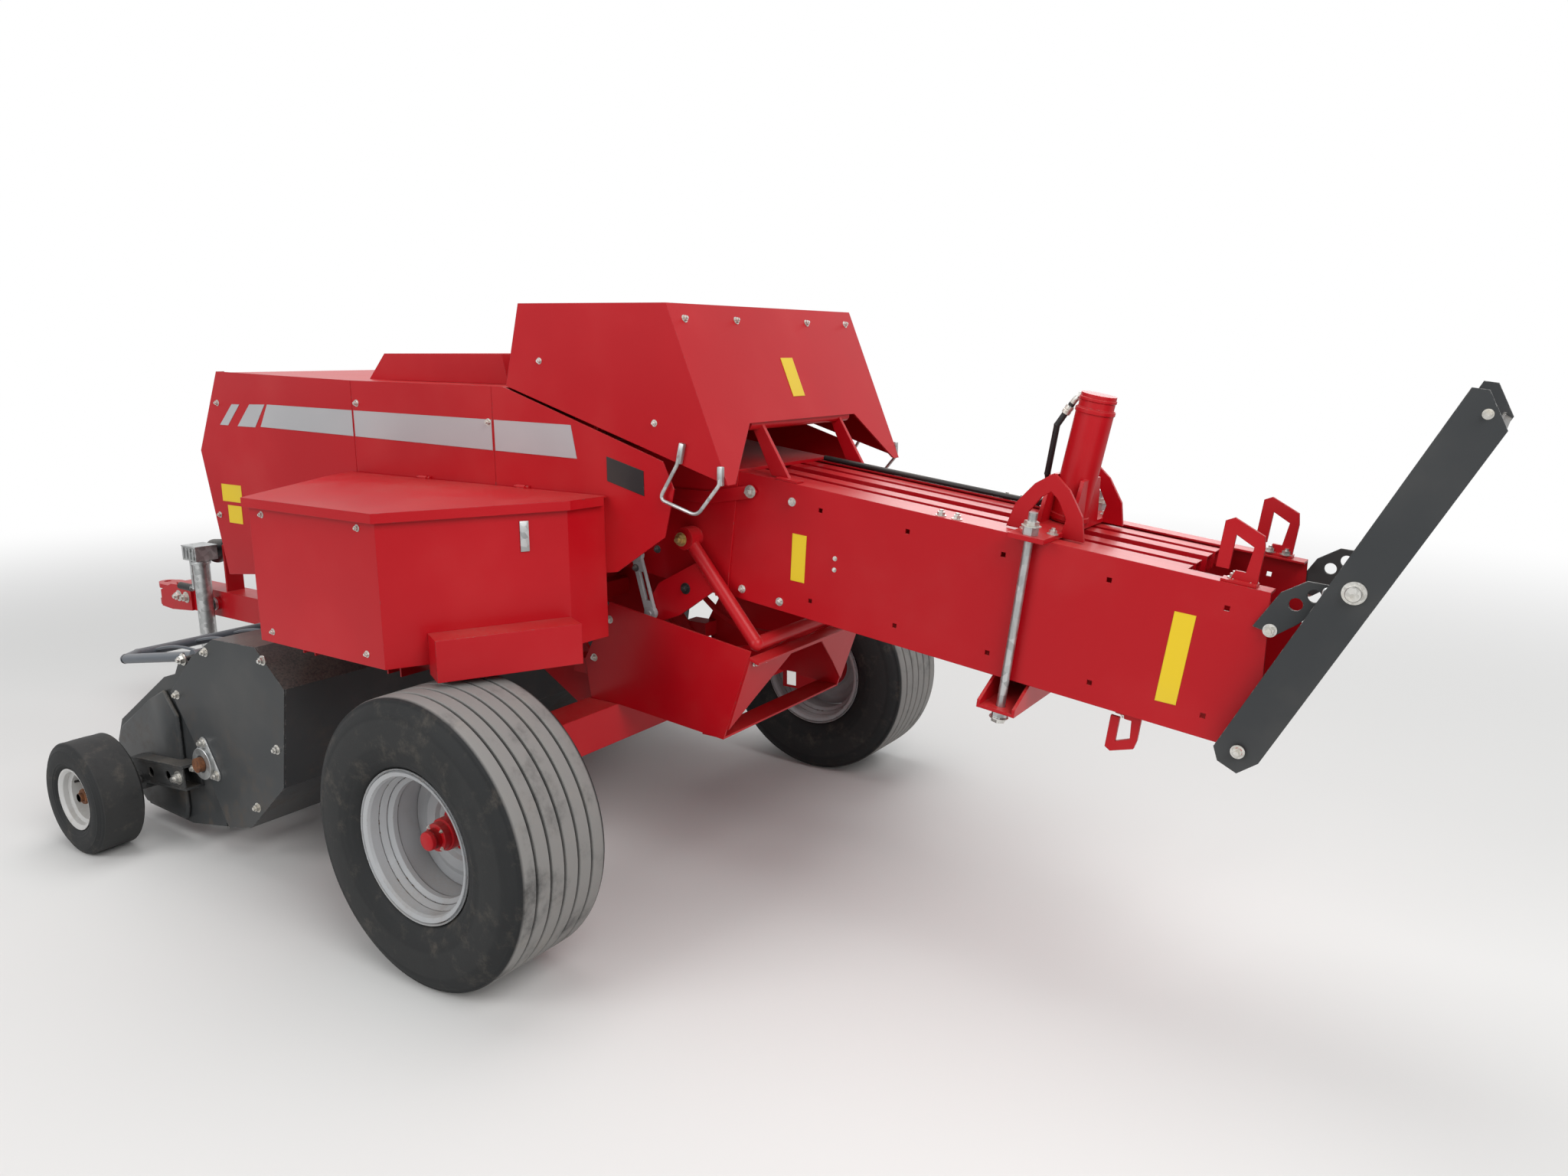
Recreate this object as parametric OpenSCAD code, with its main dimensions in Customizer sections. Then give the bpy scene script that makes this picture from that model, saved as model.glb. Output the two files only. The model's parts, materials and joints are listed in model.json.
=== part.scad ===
// In-line small square baler: a pickup ahead of the axle feeds a centred bale chamber from below.
// X runs forward, Y to the left, Z up. Modules measure x from the axle; from_axle() centres the whole.

/* [Running gear] */
// Height of the main wheel centres
wheel_z = 393; // [385:1:400]
// Width of a main tyre
tyre_w = 343; // [300:1:360]
// Radius of the main rim
rim_r = 190; // [170:1:200]
// Distance of each main wheel centre from the middle
half_track = 948; // [930:1:980]
// Radius of a main wheel spindle
spindle_r = 25; // [20:1:30]
// Axle beam width
axle_w = 120; // [100:1:140]
// Axle beam depth
axle_h = 120; // [90:1:130]
// Radius of a gauge wheel
gauge_r = 190; // [180:1:195]
// Width of a gauge tyre
gauge_w = 155; // [120:1:165]

/* [Bale chamber] */
// Inside width of the chamber
bale_w = 457; // [440:1:470]
// Height of the chamber sides
side_h = 363; // [350:1:370]
// Sheet thickness
sheet = 5; // [4:0.5:6]
// Slope of the chamber, down to the rear
slope = 7.2; // [6.8:0.1:7.6]
// Distance of the chamber's rear end behind the axle
rear_l = 1815; // [1790:1:1840]
// Height of its lower rear corner
rear_z = 755; // [745:1:765]
// Length of the slotted chamber sides
chamber_l = 1462; // [1440:1:1480]
// Length of the plunger case ahead of them
case_l = 1560; // [1540:1:1580]

/* [Chute] */
// Length of a chute arm
chute_l = 862; // [820:1:900]
// Width of a chute arm
chute_w = 95; // [85:1:105]
// Angle of the folded chute above the horizontal
chute_fold = 63; // [58:1:68]

/* [Body] */
// Distance of the side shields from the middle
shield_y = 465; // [455:1:475]
// Height of the deck
deck_z = 1545; // [1535:1:1555]
// Height of the hood's roof
hood_z = 1755; // [1720:1:1790]
// Thickness of the body panels
skin = 4; // [3:0.5:5]

/* [Twine boxes] */
// Outer face of a twine box
box_y = 1040; // [1020:1:1060]
// Underside of a twine box
box_z = 828; // [820:1:840]
// Height of a twine box
box_h = 402; // [380:1:420]

/* [Pickup] */
// Outer face of the pickup housing
housing_y = 965; // [955:1:975]
// Radius of the tine tips
tine_r = 225; // [215:1:228]
// Radius of the circle of tine bars
bar_r = 118; // [105:1:125]
// Radius of the feed auger's flights
flight_r = 138; // [120:1:142]
// Number of stripper bands
bands = 19; // [9:2:25]

/* [Drawbar] */
// Distance of the hitch pin ahead of the axle
hitch_x = 3235; // [3200:1:3270]
// Radius of the hitch pin hole
hitch_r = 16.5; // [13:0.5:20]
// Height of the tongue's level front stretch
tongue_z = 490; // [470:1:510]
// Width of the tongue
tongue_w = 110; // [90:1:120]
// Radius of the jack's outer tube
jack_r = 35; // [30:1:38]

/* [Needles] */
// Distance of each needle from the middle
needle_y = 115; // [100:1:130]
// Radius of the needles' arc about their pivot
needle_r = 369; // [360:1:376]

/* [Hidden] */
$fn = 48;

// Gaps between pieces that seat and pieces that move
seat = 0.3;
run = 0.05;
clear = 8;
// Colours
red = "#a5101c";
charcoal = "#46484a";
silver = "#c0c2c4";
zinc = "#9a9c9e";
dark = "#202022";
rust = "#6b4a35";
white = "#e6e6e4";

// Chamber
chamber_y = bale_w / 2 + sheet;
case_y = chamber_y + sheet;
flange = 48;
rear_x = -rear_l;
// Height of the chamber's underside at a place x ahead of the axle
function floor_z(x) = rear_z + (x - rear_x) * tan(slope);
// Height of the chamber's top edge there
function top_z(x) = floor_z(x) + side_h / cos(slope);

// Chute
chute_x = rear_x + 28;
chute_z = rear_z + 17;
arm_t = 8;
arm_y = chamber_y + 38;
tip_cut = 40;
chute_pin = 10;
// Rearmost point of the folded chute, and the middle of the whole
chute_rear = chute_x - (chute_l - tip_cut) * cos(chute_fold) - chute_w / 2 * sin(chute_fold);
clevis_nose = 38;
clevis_z = 472;
mid_x = (hitch_x + clevis_nose + chute_rear) / 2;

// Wheels
tyre_r = wheel_z;
hub_in = 835;
axle_x = 60;
axle_z = 505;

// Needle yoke
case_x = rear_x + chamber_l * cos(slope);
yoke_x = case_x + 114.5;
yoke_z = 1100;
// Pin of the drive link on the yoke's gusset
link_at = [yoke_x + 135, yoke_z - 238];
yoke_y = 270;
yoke_r = 20;
yoke_pin = 12;
eye_half = yoke_r + 2;
yoke_rest = -130.5;
needle_reach = 94;
needle_t = 16;
needle_h = 34;
slot_w = 46;

// Drawbar
nose_x = 1880;
knee_x = 2350;
rise_z = 835;
tongue_h = 120;
fly_x = 1715;
fly_z = 1015;
fly_r = 232;
fly_t = 75;
fly_bore = 30;
guard_x = 2780;
guard_z = 715;
tube_r = 30;
shaft_r = 18;
// The drive line runs from the flywheel's joint down to the front of the guard
joint_x = fly_x + fly_t / 2 + 44;
drive_l = norm([guard_x - joint_x, fly_z - guard_z]);
drive_a = atan((fly_z - guard_z) / (guard_x - joint_x));
jack_x = 2700;
jack_y = 112;

// Pickup
auger_x = 1202;
auger_z = 324;
reel_x = 1592;
reel_z = 298;
frame_y = housing_y - 32;
gauge_x = 1590;
gauge_y = 1140;
gauge_rim = 95;
stub_r = 14;
bar_count = 4;
guard_pivot_x = 1335;
guard_pivot_z = 642;
feed_y = 236;
// Side view of the pickup housing, round from the front of its roof
housing = [[1220, 676], [1374, 535], [1255, 374], [1107, 122], [972, 156], [773, 332], [720, 653], [855,
  762], [1085, 753]];

module from_axle() { translate([-mid_x, 0, 0]) children(); }

module both_sides() {
  children();
  mirror([0, 1, 0]) children();
}

// A plate in the plane of X and Z, between y and y + t
module side_plate(points, y, t) {
  translate([0, y + t, 0]) rotate([90, 0, 0]) linear_extrude(t) polygon(points);
}

// A round bar along Y from y0 to y1
module cross_bar(x, z, r, y0, y1) {
  translate([x, y1, z]) rotate([90, 0, 0]) cylinder(r = r, h = y1 - y0);
}

// A round bar from one point to another
module rod(a, b, r) {
  d = b - a;
  translate(a) rotate([0, acos(d.z / norm(d)), atan2(d.y, d.x)]) cylinder(r = r, h = norm(d));
}

// A bent round bar through a list of points, with forged corners a little larger than the bar
module bent_rod(points, r) {
  for (i = [0 : len(points) - 2]) rod(points[i], points[i + 1], r);
  for (i = [1 : len(points) - 2]) translate(points[i]) sphere(r * 1.06, $fn = 24);
}

// The chamber's own frame: x along the floor from its rear end, z square to the floor
module on_slope() {
  translate([rear_x, 0, rear_z]) rotate([0, -slope, 0]) children();
}

// The drive line: its length along Z, from the flywheel's joint
module on_drive() {
  translate([joint_x, 0, fly_z]) rotate([0, 90 + drive_a, 0]) children();
}

// The line from a to b, moved by t to its left and drawn out by e at both ends
function inner_line(a, b, t, e) = let (d = (b - a) / norm(b - a), n = [-d.y, d.x]) [a + t * n - e * d,
  b + t * n + e * d];

// One main wheel's place, with the wheel's axis along Z and its outer side up
module at_wheel(side) {
  translate([0, side * half_track, wheel_z]) rotate([-90 * side, 0, 0]) children();
}

module axle_beam() {
  from_axle() color(red) difference() {
    union() {
      translate([axle_x - axle_w / 2, -hub_in + 60, axle_z - axle_h / 2]) cube([axle_w, 2 * hub_in - 120,
        axle_h]);
      both_sides() {
        translate([-70, hub_in - 60, wheel_z - 70]) cube([axle_x + axle_w / 2 + 70, 16,
          axle_z + axle_h / 2 - wheel_z + 70]);
        cross_bar(0, wheel_z, spindle_r + 14, hub_in - 44, hub_in - 10);
        cross_bar(0, wheel_z, spindle_r, hub_in - 10, half_track + 90);
      }
    }
    both_sides() translate([-71, hub_in - 61, wheel_z - 71]) rotate([-90, 0, 0]) rotate([0, 0, 45])
      cube([60, 60, 40], center = true);
  }
}

// Height of the housing's flat roof, where the frame's legs stand on it
function roof_z(x) = housing[7].y + (x - housing[7].x) * (housing[8].y - housing[7].y) / (housing[8].x - housing[7].x) + seat;

// Side plates of the frame, from the tongue's root back to the axle
frame_outline = [[nose_x, 1010], [nose_x, 800], [1480, 815], [1090, 864], [1070, roof_z(1070)], [870,
  roof_z(870)],
  [850, 894], [760, 905], [460, 640], [axle_x + axle_w / 2, axle_z - axle_h / 2],
  [axle_x + axle_w / 2, axle_z + axle_h / 2 + 60], [260, 800], [300, floor_z(300) + 60], [1180,
    floor_z(1180) + 60], [1420, 1180], [1780, 1080]];
frame_t = 10;
module main_frame() {
  inner = case_y + seat;
  arm_z = box_z - seat - 60;
  from_axle() color(red) {
    both_sides() {
      side_plate(frame_outline, inner, frame_t);
      for (x = [215, 600]) translate([x, inner + frame_t, arm_z]) difference() {
        cube([60, box_y - 110 - inner - frame_t, 60]);
        translate([5, -1, -1]) cube([50, box_y, 56]);
      }
    }
    // Nose plate, axle box and cross member between the side plates
    translate([nose_x - 12, -inner, rise_z - tongue_h / 2 - 10]) cube([12, 2 * inner, tongue_h + 10]);
    translate([axle_x + axle_w / 2, -inner, axle_z - axle_h / 2 + 8]) cube([80, 2 * inner, 90]);
    translate([440, -inner, 760]) cube([60, 2 * inner, 60]);
  }
}

module tongue() {
  slant = atan((rise_z - tongue_z) / (knee_x - nose_x));
  half = tongue_h / 2;
  front = hitch_x - 190;
  outline = [[nose_x + seat, rise_z + half], [nose_x + seat, rise_z - half - 10],
    [knee_x - half * tan(slant / 2), tongue_z - half],
    [front, tongue_z - half], [front, tongue_z + half], [knee_x + half * tan(slant / 2), tongue_z + half]];
  from_axle() color(red) {
    side_plate(outline, -tongue_w / 2, tongue_w);
    // Collar for the jack's side mount
    translate([jack_x, tongue_w / 2 - 1, tongue_z]) rotate([-90, 0, 0]) cylinder(r = 30,
      h = jack_y - tongue_w / 2 - jack_flange - seat + 1);
    // Saddle that carries the front end of the drive guard
    difference() {
      translate([guard_x - 150, -tube_r - 10, tongue_z + half - 1]) cube([12, 2 * tube_r + 20,
        guard_z - tongue_z - half + 52]);
      on_drive() cylinder(r = tube_r + seat, h = drive_l);
    }
    // Hook for the safety chain
    translate([jack_x - 60, 0, tongue_z - half]) rotate([0, 90, 0]) rotate([0, 0, 90])
      rotate_extrude(angle = 180) translate([42, 0]) circle(9);
  }
}

module hitch_clevis() {
  plate = 20;
  gap = 62;
  back = hitch_x - 330;
  from_axle() color(red) difference() {
    union() {
      both_sides() side_plate([[back, tongue_z - 60], [back, tongue_z + 55], [hitch_x - 160, tongue_z + 50],
        [hitch_x - 60, tongue_z + 10],
        [hitch_x - 60, clevis_z - gap / 2 - plate], [hitch_x - 150, tongue_z - 75]], tongue_w / 2 + seat, 12);
      for (z = [clevis_z - gap / 2 - plate, clevis_z + gap / 2]) translate([0, 0, z]) {
        translate([hitch_x - 185, -tongue_w / 2 - seat, 0]) cube([145, tongue_w + 2 * seat, plate]);
        translate([hitch_x - 40, 0, 0]) cylinder(r = tongue_w / 2 + seat, h = plate);
        translate([hitch_x, 0, 0]) cylinder(r = clevis_nose, h = plate);
      }
    }
    translate([hitch_x, 0, tongue_z - 200]) cylinder(r = hitch_r, h = 400);
    for (x = [hitch_x - 290, hitch_x - 225]) cross_bar(x, tongue_z, 9, -200, 200);
  }
}

jack_top = 705;
jack_bottom = 300;
leg_r = jack_r - 7;
// Distance of the side mount's face from the jack's own axis
jack_flange = jack_r + 8;
module jack_tube() {
  from_axle() color(silver) {
    translate([jack_x, jack_y, 0]) {
      difference() {
        translate([0, 0, jack_bottom]) cylinder(r = jack_r, h = jack_top - jack_bottom);
        translate([0, 0, jack_bottom - 1]) cylinder(r = leg_r + run, h = jack_top - jack_bottom - 20);
      }
      translate([-56, -50, jack_top]) cube([112, 100, 62]);
      translate([0, -leg_r - 3, tongue_z]) rotate([90, 0, 0]) cylinder(r = 30, h = jack_flange - leg_r - 3);
    }
    // Crank folded down beside the head
    bent_rod([[jack_x + 56, jack_y, jack_top + 35], [jack_x + 84, jack_y, jack_top + 35], [jack_x + 84,
      jack_y, 560], [jack_x + 96, jack_y, 560]], 7);
    translate([jack_x + 96, jack_y, 560]) rotate([0, 90, 0]) cylinder(r = 15, h = 105);
  }
}

module jack_leg() {
  from_axle() color(silver) translate([jack_x, jack_y, 0]) {
    translate([0, 0, 8]) cylinder(r = leg_r, h = jack_bottom + 112);
    cylinder(r = 85, h = 10);
    translate([0, 0, 10]) cylinder(r1 = 60, r2 = leg_r, h = 25);
  }
}

// One chamber side: a sheet with its top and bottom flanges turned in, cut plumb at the rear
module chamber_side() {
  inner = bale_w / 2;
  difference() {
    on_slope() translate([-80, 0, 0]) {
      translate([0, inner, 0]) cube([chamber_l + 80, sheet, side_h]);
      for (h = [0, side_h - sheet]) translate([0, inner - flange, h]) cube([chamber_l + 80, flange + 1, sheet]);
    }
    translate([rear_x - 400, 0, 0]) cube([400, 1000, 2000]);
    // Rail bolt holes along the sheet
    on_slope() for (s = [120 : 265 : chamber_l - 60], h = [46, side_h - 62])
      translate([s, inner - 1, h]) cube([12, sheet + 2, 12]);
  }
  // Pivot pin of the chute, with its spacer
  cross_bar(chute_x, chute_z, 2 * chute_pin, inner + 1, arm_y - seat);
  cross_bar(chute_x, chute_z, chute_pin, inner + 1, arm_y + arm_t + 12);
}

module chamber_left() { from_axle() color(red) chamber_side(); }

module chamber_right() { from_axle() color(red) mirror([0, 1, 0]) chamber_side(); }

module chamber_floor() {
  half = bale_w / 2 - seat;
  from_axle() color(red) difference() {
    on_slope() translate([-80, -half, sheet]) cube([chamber_l + 80, 2 * half, sheet]);
    translate([rear_x - 400, -500, 0]) cube([400, 1000, 2000]);
  }
}

// Rails that press on the bale from above, hung from the plunger case and the tension saddle
rail_h = 42;
rail_s = 240;
rail_z = side_h - sheet - seat - rail_h;
module tension_rails() {
  from_axle() color(red) on_slope() both_sides() {
    for (y = [28, 108]) translate([rail_s, y, rail_z]) difference() {
      cube([chamber_l + 30 - rail_s, 52, rail_h]);
      translate([-1, 5, -1]) cube([chamber_l, 42, rail_h - 4]);
    }
    for (s = [rail_s + 40, chamber_l - 60]) translate([s, 20, rail_z - 9]) cube([50, 145, 10]);
  }
}

// The saddle and the tie rods lie square to the chamber at this distance from its rear end
saddle_s = 590;
saddle_w = 92;
rod_y = chamber_y + 22;
rod_r = 11;
module tension_cylinder() {
  lean = 4;
  from_axle() color(red) on_slope() translate([saddle_s, 0, side_h + seat]) {
    difference() {
      union() {
        translate([-saddle_w / 2, -rod_y - 28, 0]) cube([saddle_w, 2 * rod_y + 56, 12]);
        // Pad that presses on the rails, between the side flanges
        translate([-30, -165, rail_z + rail_h - side_h]) cube([60, 330, 1 + side_h - rail_z - rail_h]);
        // Tapered seat of the cylinder
        for (x = [-saddle_w / 2, saddle_w / 2 - 10]) translate([x, 0, 12]) rotate([90, 0, 90])
          linear_extrude(10)
          polygon([[-100, 0], [100, 0], [62, 118], [-62, 118]]);
        // Curved arms at both ends of the saddle
        both_sides() for (k = [-1, 1]) side_plate([[k * 40, 0], [k * 100, 0], [k * 86, 60], [k * 44, 118],
          [k * 2, 150],
          [-k * 18, 120], [k * 22, 88], [k * 48, 46]], 148, 10);
      }
      both_sides() translate([0, rod_y, -1]) cylinder(r = rod_r + 1, h = 20);
    }
    rotate([0, -lean, 0]) {
      translate([0, 0, 14]) cylinder(r = 47, h = 292);
      translate([0, 0, 306]) cylinder(r = 44, h = 34);
    }
  }
}

beam_drop = 72;
module tie_rods() {
  from_axle() color(zinc) on_slope() both_sides() translate([saddle_s, rod_y, 0]) {
    translate([0, 0, -beam_drop - 30]) cylinder(r = rod_r, h = side_h + beam_drop + 96);
    translate([0, 0, side_h + 12 + 2 * seat]) cylinder(r = 20, h = 20, $fn = 6);
    translate([0, 0, -beam_drop - 20 - seat]) cylinder(r = 20, h = 18, $fn = 6);
  }
}

module tension_beam() {
  half = rod_y + 34;
  from_axle() color(red) on_slope() difference() {
    translate([saddle_s, 0, 0]) {
      translate([-50, -half, -beam_drop]) cube([100, 2 * half, 8]);
      for (x = [-50, 42]) translate([x, 0, -seat]) rotate([90, 0, 90]) linear_extrude(8)
        polygon([[-half, -beam_drop], [half, -beam_drop], [half, -beam_drop + 20], [half - 90, 0],
          [90 - half, 0], [-half, -beam_drop + 20]]);
    }
    both_sides() translate([saddle_s, rod_y, -beam_drop - 1]) cylinder(r = rod_r + 1, h = 20);
  }
}

// Loop handles of flat plate, above and below the chamber near its rear end
loop = [[0, 0], [58, 0], [50, 26], [28, 26], [22, 84], [64, 104], [64, 26], [92, 26], [92, 130], [74, 140],
  [6, 112], [0, 84]];
module chamber_handles() {
  from_axle() color(red) on_slope() both_sides() {
    translate([80, 0, side_h + seat]) translate([0, 212, 0]) rotate([90, 0, 0]) linear_extrude(9) polygon(loop);
    translate([78, 190, side_h + seat]) cube([76, 38, 6]);
    translate([262, 0, -seat]) translate([0, 206, 0]) rotate([90, 0, 0]) mirror([0, 1]) linear_extrude(9)
      polygon(loop * 0.78);
    translate([260, 184, -6 - seat]) cube([60, 38, 6]);
  }
}

bracket = [[-18, -28], [30, -14], [-20, 66], [-70, 96], [-118, 92], [-124, 66], [-60, 2]];
chain_pin = [-112, 80];
chain_pin_r = 4;
module chute_brackets() {
  from_axle() color(charcoal) both_sides() translate([rear_x, 0, top_z(rear_x) - 62]) {
    difference() {
      side_plate(bracket, chamber_y + seat, 7);
      for (p = [[-52, 44], [-86, 66]]) cross_bar(p.x, p.y, 14, 0, chamber_y + 20);
    }
    cross_bar(chain_pin.x, chain_pin.y, chain_pin_r, chamber_y + 3, arm_y - 6);
  }
}

// One long chain link upright in the plane of X and Z
module chain_link(length, r, wire) {
  rotate([90, 0, 0]) for (k = [0, 180]) rotate([0, 0, k]) {
    translate([0, length / 2]) rotate_extrude(angle = 180, $fn = 24) translate([r, 0]) circle(wire, $fn = 16);
    translate([r, length / 2, 0]) rotate([90, 0, 0]) cylinder(r = wire, h = length, $fn = 16);
  }
}

// Chain links that hang from the pin of each bracket
link_l = 14;
link_r = 8;
wire_r = 3;
links = 4;
module chute_chains() {
  reach = link_l / 2 + link_r - wire_r;
  first = chain_pin.y + chain_pin_r + seat - reach;
  from_axle() color(zinc) both_sides() translate([rear_x + chain_pin.x, chamber_y + 20.5,
    top_z(rear_x) - 62 + first])
    for (i = [0 : links - 1]) translate([0, 0, -i * (2 * reach - seat)]) rotate([0, 0, 90 * i])
      chain_link(link_l, link_r, wire_r);
}

// The folded chute: a tray of two side arms, a floor and cross ribs
module chute() {
  half = chute_w / 2;
  from_axle() color(charcoal) translate([chute_x, 0, chute_z]) rotate([0, -(180 - chute_fold), 0]) {
    both_sides() difference() {
      union() {
        side_plate([[-half, -half * 0.5], [-half * 0.5, -half], [chute_l, -half], [chute_l + 10, -half * 0.4],
          [chute_l - tip_cut, half], [0, half], [-half, half * 0.5]], arm_y, arm_t);
        cross_bar(chute_l * 0.49, 0, 12, arm_y + arm_t - 1, arm_y + arm_t + 18);
      }
      cross_bar(0, 0, chute_pin + run, arm_y - 1, arm_y + arm_t + 1);
    }
    // Floor, with its ribs underneath
    translate([75, -arm_y - 1, half - 22]) cube([chute_l - 115, 2 * arm_y + 2, 5]);
    for (x = [75, chute_l * 0.5, chute_l - 50]) translate([x, -arm_y - 1, half - 18]) cube([6,
      2 * arm_y + 2, 16]);
  }
}

feed_from = 360;
feed_to = 800;
module plunger_case() {
  s0 = chamber_l + seat;
  // The needles cross the floor and the roof at these places
  floor_x = yoke_x + sqrt(pow(needle_r, 2) - pow(yoke_z - floor_z(yoke_x + 300), 2));
  roof_x = yoke_x + sqrt(pow(needle_r, 2) - pow(top_z(yoke_x + 250) - yoke_z, 2));
  from_axle() color(red) {
    difference() {
      on_slope() translate([s0, 0, 0]) difference() {
        translate([0, -case_y, -sheet]) cube([case_l, 2 * case_y, side_h + 2 * sheet]);
        translate([-1, -bale_w / 2, sheet]) cube([case_l - 20, bale_w, side_h - 2 * sheet]);
      }
      both_sides() {
        translate([floor_x - 70, needle_y - slot_w / 2, floor_z(floor_x) - 60]) cube([140, slot_w, 120]);
        translate([roof_x - 80, needle_y - slot_w / 2, top_z(roof_x) - 60]) cube([160, slot_w, 120]);
      }
      translate([feed_from, -feed_y + 25, floor_z(feed_from) - 80]) cube([feed_to - feed_from,
        2 * feed_y - 50, 180]);
    }
    // Pivot pins of the needle yoke on their bosses
    both_sides() {
      cross_bar(yoke_x, yoke_z, 30, case_y - 1, yoke_y - eye_half - 4);
      cross_bar(yoke_x, yoke_z, yoke_pin, case_y - 1, yoke_y + 34);
    }
  }
}

// Two knotters on one shaft over the roof slots: disc, gear, frame and bill hook
knot_x = yoke_x + 310;
knot_z = 1470;
module knotters() {
  base = top_z(knot_x + 60) + sheet + seat;
  from_axle() {
    color(zinc) {
      cross_bar(knot_x, knot_z, 16, -330, 330);
      both_sides() {
        cross_bar(knot_x, knot_z, 88, needle_y + 30, needle_y + 44);
        cross_bar(knot_x, knot_z, 52, needle_y + 44, needle_y + 58);
        // Bill hook, outside the arc of the needle
        cross_bar(knot_x - 40, knot_z - 60, 9, needle_y - 40, needle_y + 70);
      }
    }
    color(red) both_sides() {
      side_plate([[knot_x + 110, base + 8], [knot_x + 20, base + 6], [knot_x - 20, knot_z - 20],
        [knot_x - 20, knot_z + 24], [knot_x + 40, knot_z + 24]], 300, 12);
      for (y = [needle_y - 46, needle_y + 64])
        side_plate([[knot_x + 110, base + 8], [knot_x + 50, base + 8], [knot_x - 110, knot_z - 84],
          [knot_x - 90, knot_z - 60], [knot_x + 22, knot_z + 26], [knot_x + 50, knot_z]], y, 12);
      on_slope() translate([(knot_x + 60 - rear_x) / cos(slope) + 14, 0, side_h + sheet + seat]) {
        translate([0, needle_y - 60, 0]) cube([90, 150, 8]);
        translate([0, 215, 0]) cube([90, 100, 8]);
      }
    }
  }
}

// Stand with a cross tube, bolted to the chamber top under the hood
module hood_stand() {
  foot_x = yoke_x - 290;
  foot_z = top_z(foot_x);
  bar_x = yoke_x - 205;
  from_axle() color(red) {
    cross_bar(bar_x, 1432, 17, -262, 262);
    both_sides() {
      side_plate([[foot_x - 20, foot_z + 4], [foot_x + 36, foot_z + 8], [bar_x + 15, 1420], [bar_x - 15,
        1432]], 200, 12);
      on_slope() translate([(foot_x - rear_x) / cos(slope) - 14, 197, side_h + seat]) cube([70, 35, 6]);
    }
  }
}

module gearbox() {
  x0 = rear_x + (chamber_l + case_l + 2) * cos(slope) + 2;
  from_axle() {
    color(red) {
      translate([x0, -150, 1120]) cube([190, 300, 300]);
      translate([x0 + 40, -case_y, 1060]) cube([90, 2 * case_y, 61]);
      translate([x0 + 190, 0, fly_z + 190]) rotate([0, 90, 0]) cylinder(r = 75, h = 60);
      // Flywheel bearing and shaft
      translate([x0 + 60, 0, fly_z]) rotate([0, 90, 0]) {
        cylinder(r = 70, h = fly_x - fly_t / 2 - x0 - 60 - clear);
        cylinder(r = fly_bore, h = fly_x + fly_t / 2 + 10 - x0 - 60);
      }
    }
  }
}

module flywheel() {
  from_axle() color(dark) translate([fly_x, 0, fly_z]) rotate([0, 90, 0]) difference() {
    union() {
      difference() {
        translate([0, 0, -fly_t / 2]) cylinder(r = fly_r, h = fly_t);
        translate([0, 0, 12]) cylinder(r = fly_r - 30, h = fly_t);
      }
      cylinder(r = 60, h = fly_t / 2 + 22);
      translate([0, 0, fly_t / 2 + 44]) sphere(30);
      for (k = [0 : 7]) rotate([0, 0, 45 * k]) translate([150, 0, 0]) cylinder(r = 12, h = 26);
    }
    translate([0, 0, -fly_t / 2 - 1]) cylinder(r = fly_bore + run, h = fly_t + 12);
  }
}

// Guard tube of the drive shaft, at rest in its saddle over the tongue
module drive_guard() {
  l = drive_l;
  from_axle() color(dark) on_drive() difference() {
    union() {
      translate([0, 0, 40]) cylinder(r1 = 78, r2 = 40, h = 120);
      translate([0, 0, 155]) cylinder(r = 36, h = l * 0.45);
      translate([0, 0, 150 + l * 0.42]) cylinder(r = tube_r, h = l * 0.58 - 270);
      translate([0, 0, l - 130]) cylinder(r1 = 34, r2 = 56, h = 110);
    }
    translate([0, 0, -1]) cylinder(r = shaft_r + run, h = l + 2);
    translate([0, 0, 39]) cylinder(r1 = 72, r2 = 34, h = 120);
    translate([0, 0, l - 129]) cylinder(r1 = 28, r2 = 52, h = 112);
  }
}

module drive_yoke() {
  l = drive_l;
  from_axle() color(zinc) on_drive() {
    difference() {
      union() {
        translate([0, 0, 36]) cylinder(r = shaft_r, h = l - 90);
        translate([0, 0, l - 60]) cylinder(r = 28, h = 30);
        // Two pairs of prongs, set square to each other
        for (k = [0, 180]) rotate([0, 0, k]) translate([18, -15, l - 32]) cube([11, 30, 60]);
        for (k = [90, 270]) rotate([0, 0, k]) translate([18, -15, l + 3]) cube([11, 30, 60]);
        // Cross of the joint
        translate([-31, 0, l + 14]) rotate([0, 90, 0]) cylinder(r = 9, h = 62);
        translate([0, 31, l + 14]) rotate([90, 0, 0]) cylinder(r = 8, h = 62);
        translate([0, 0, l + 14]) sphere(13);
        translate([0, 0, l + 60]) cylinder(r = 31, h = 70);
      }
      translate([0, 0, l + 62]) cylinder(r = 17.5, h = 90);
    }
  }
}

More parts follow.
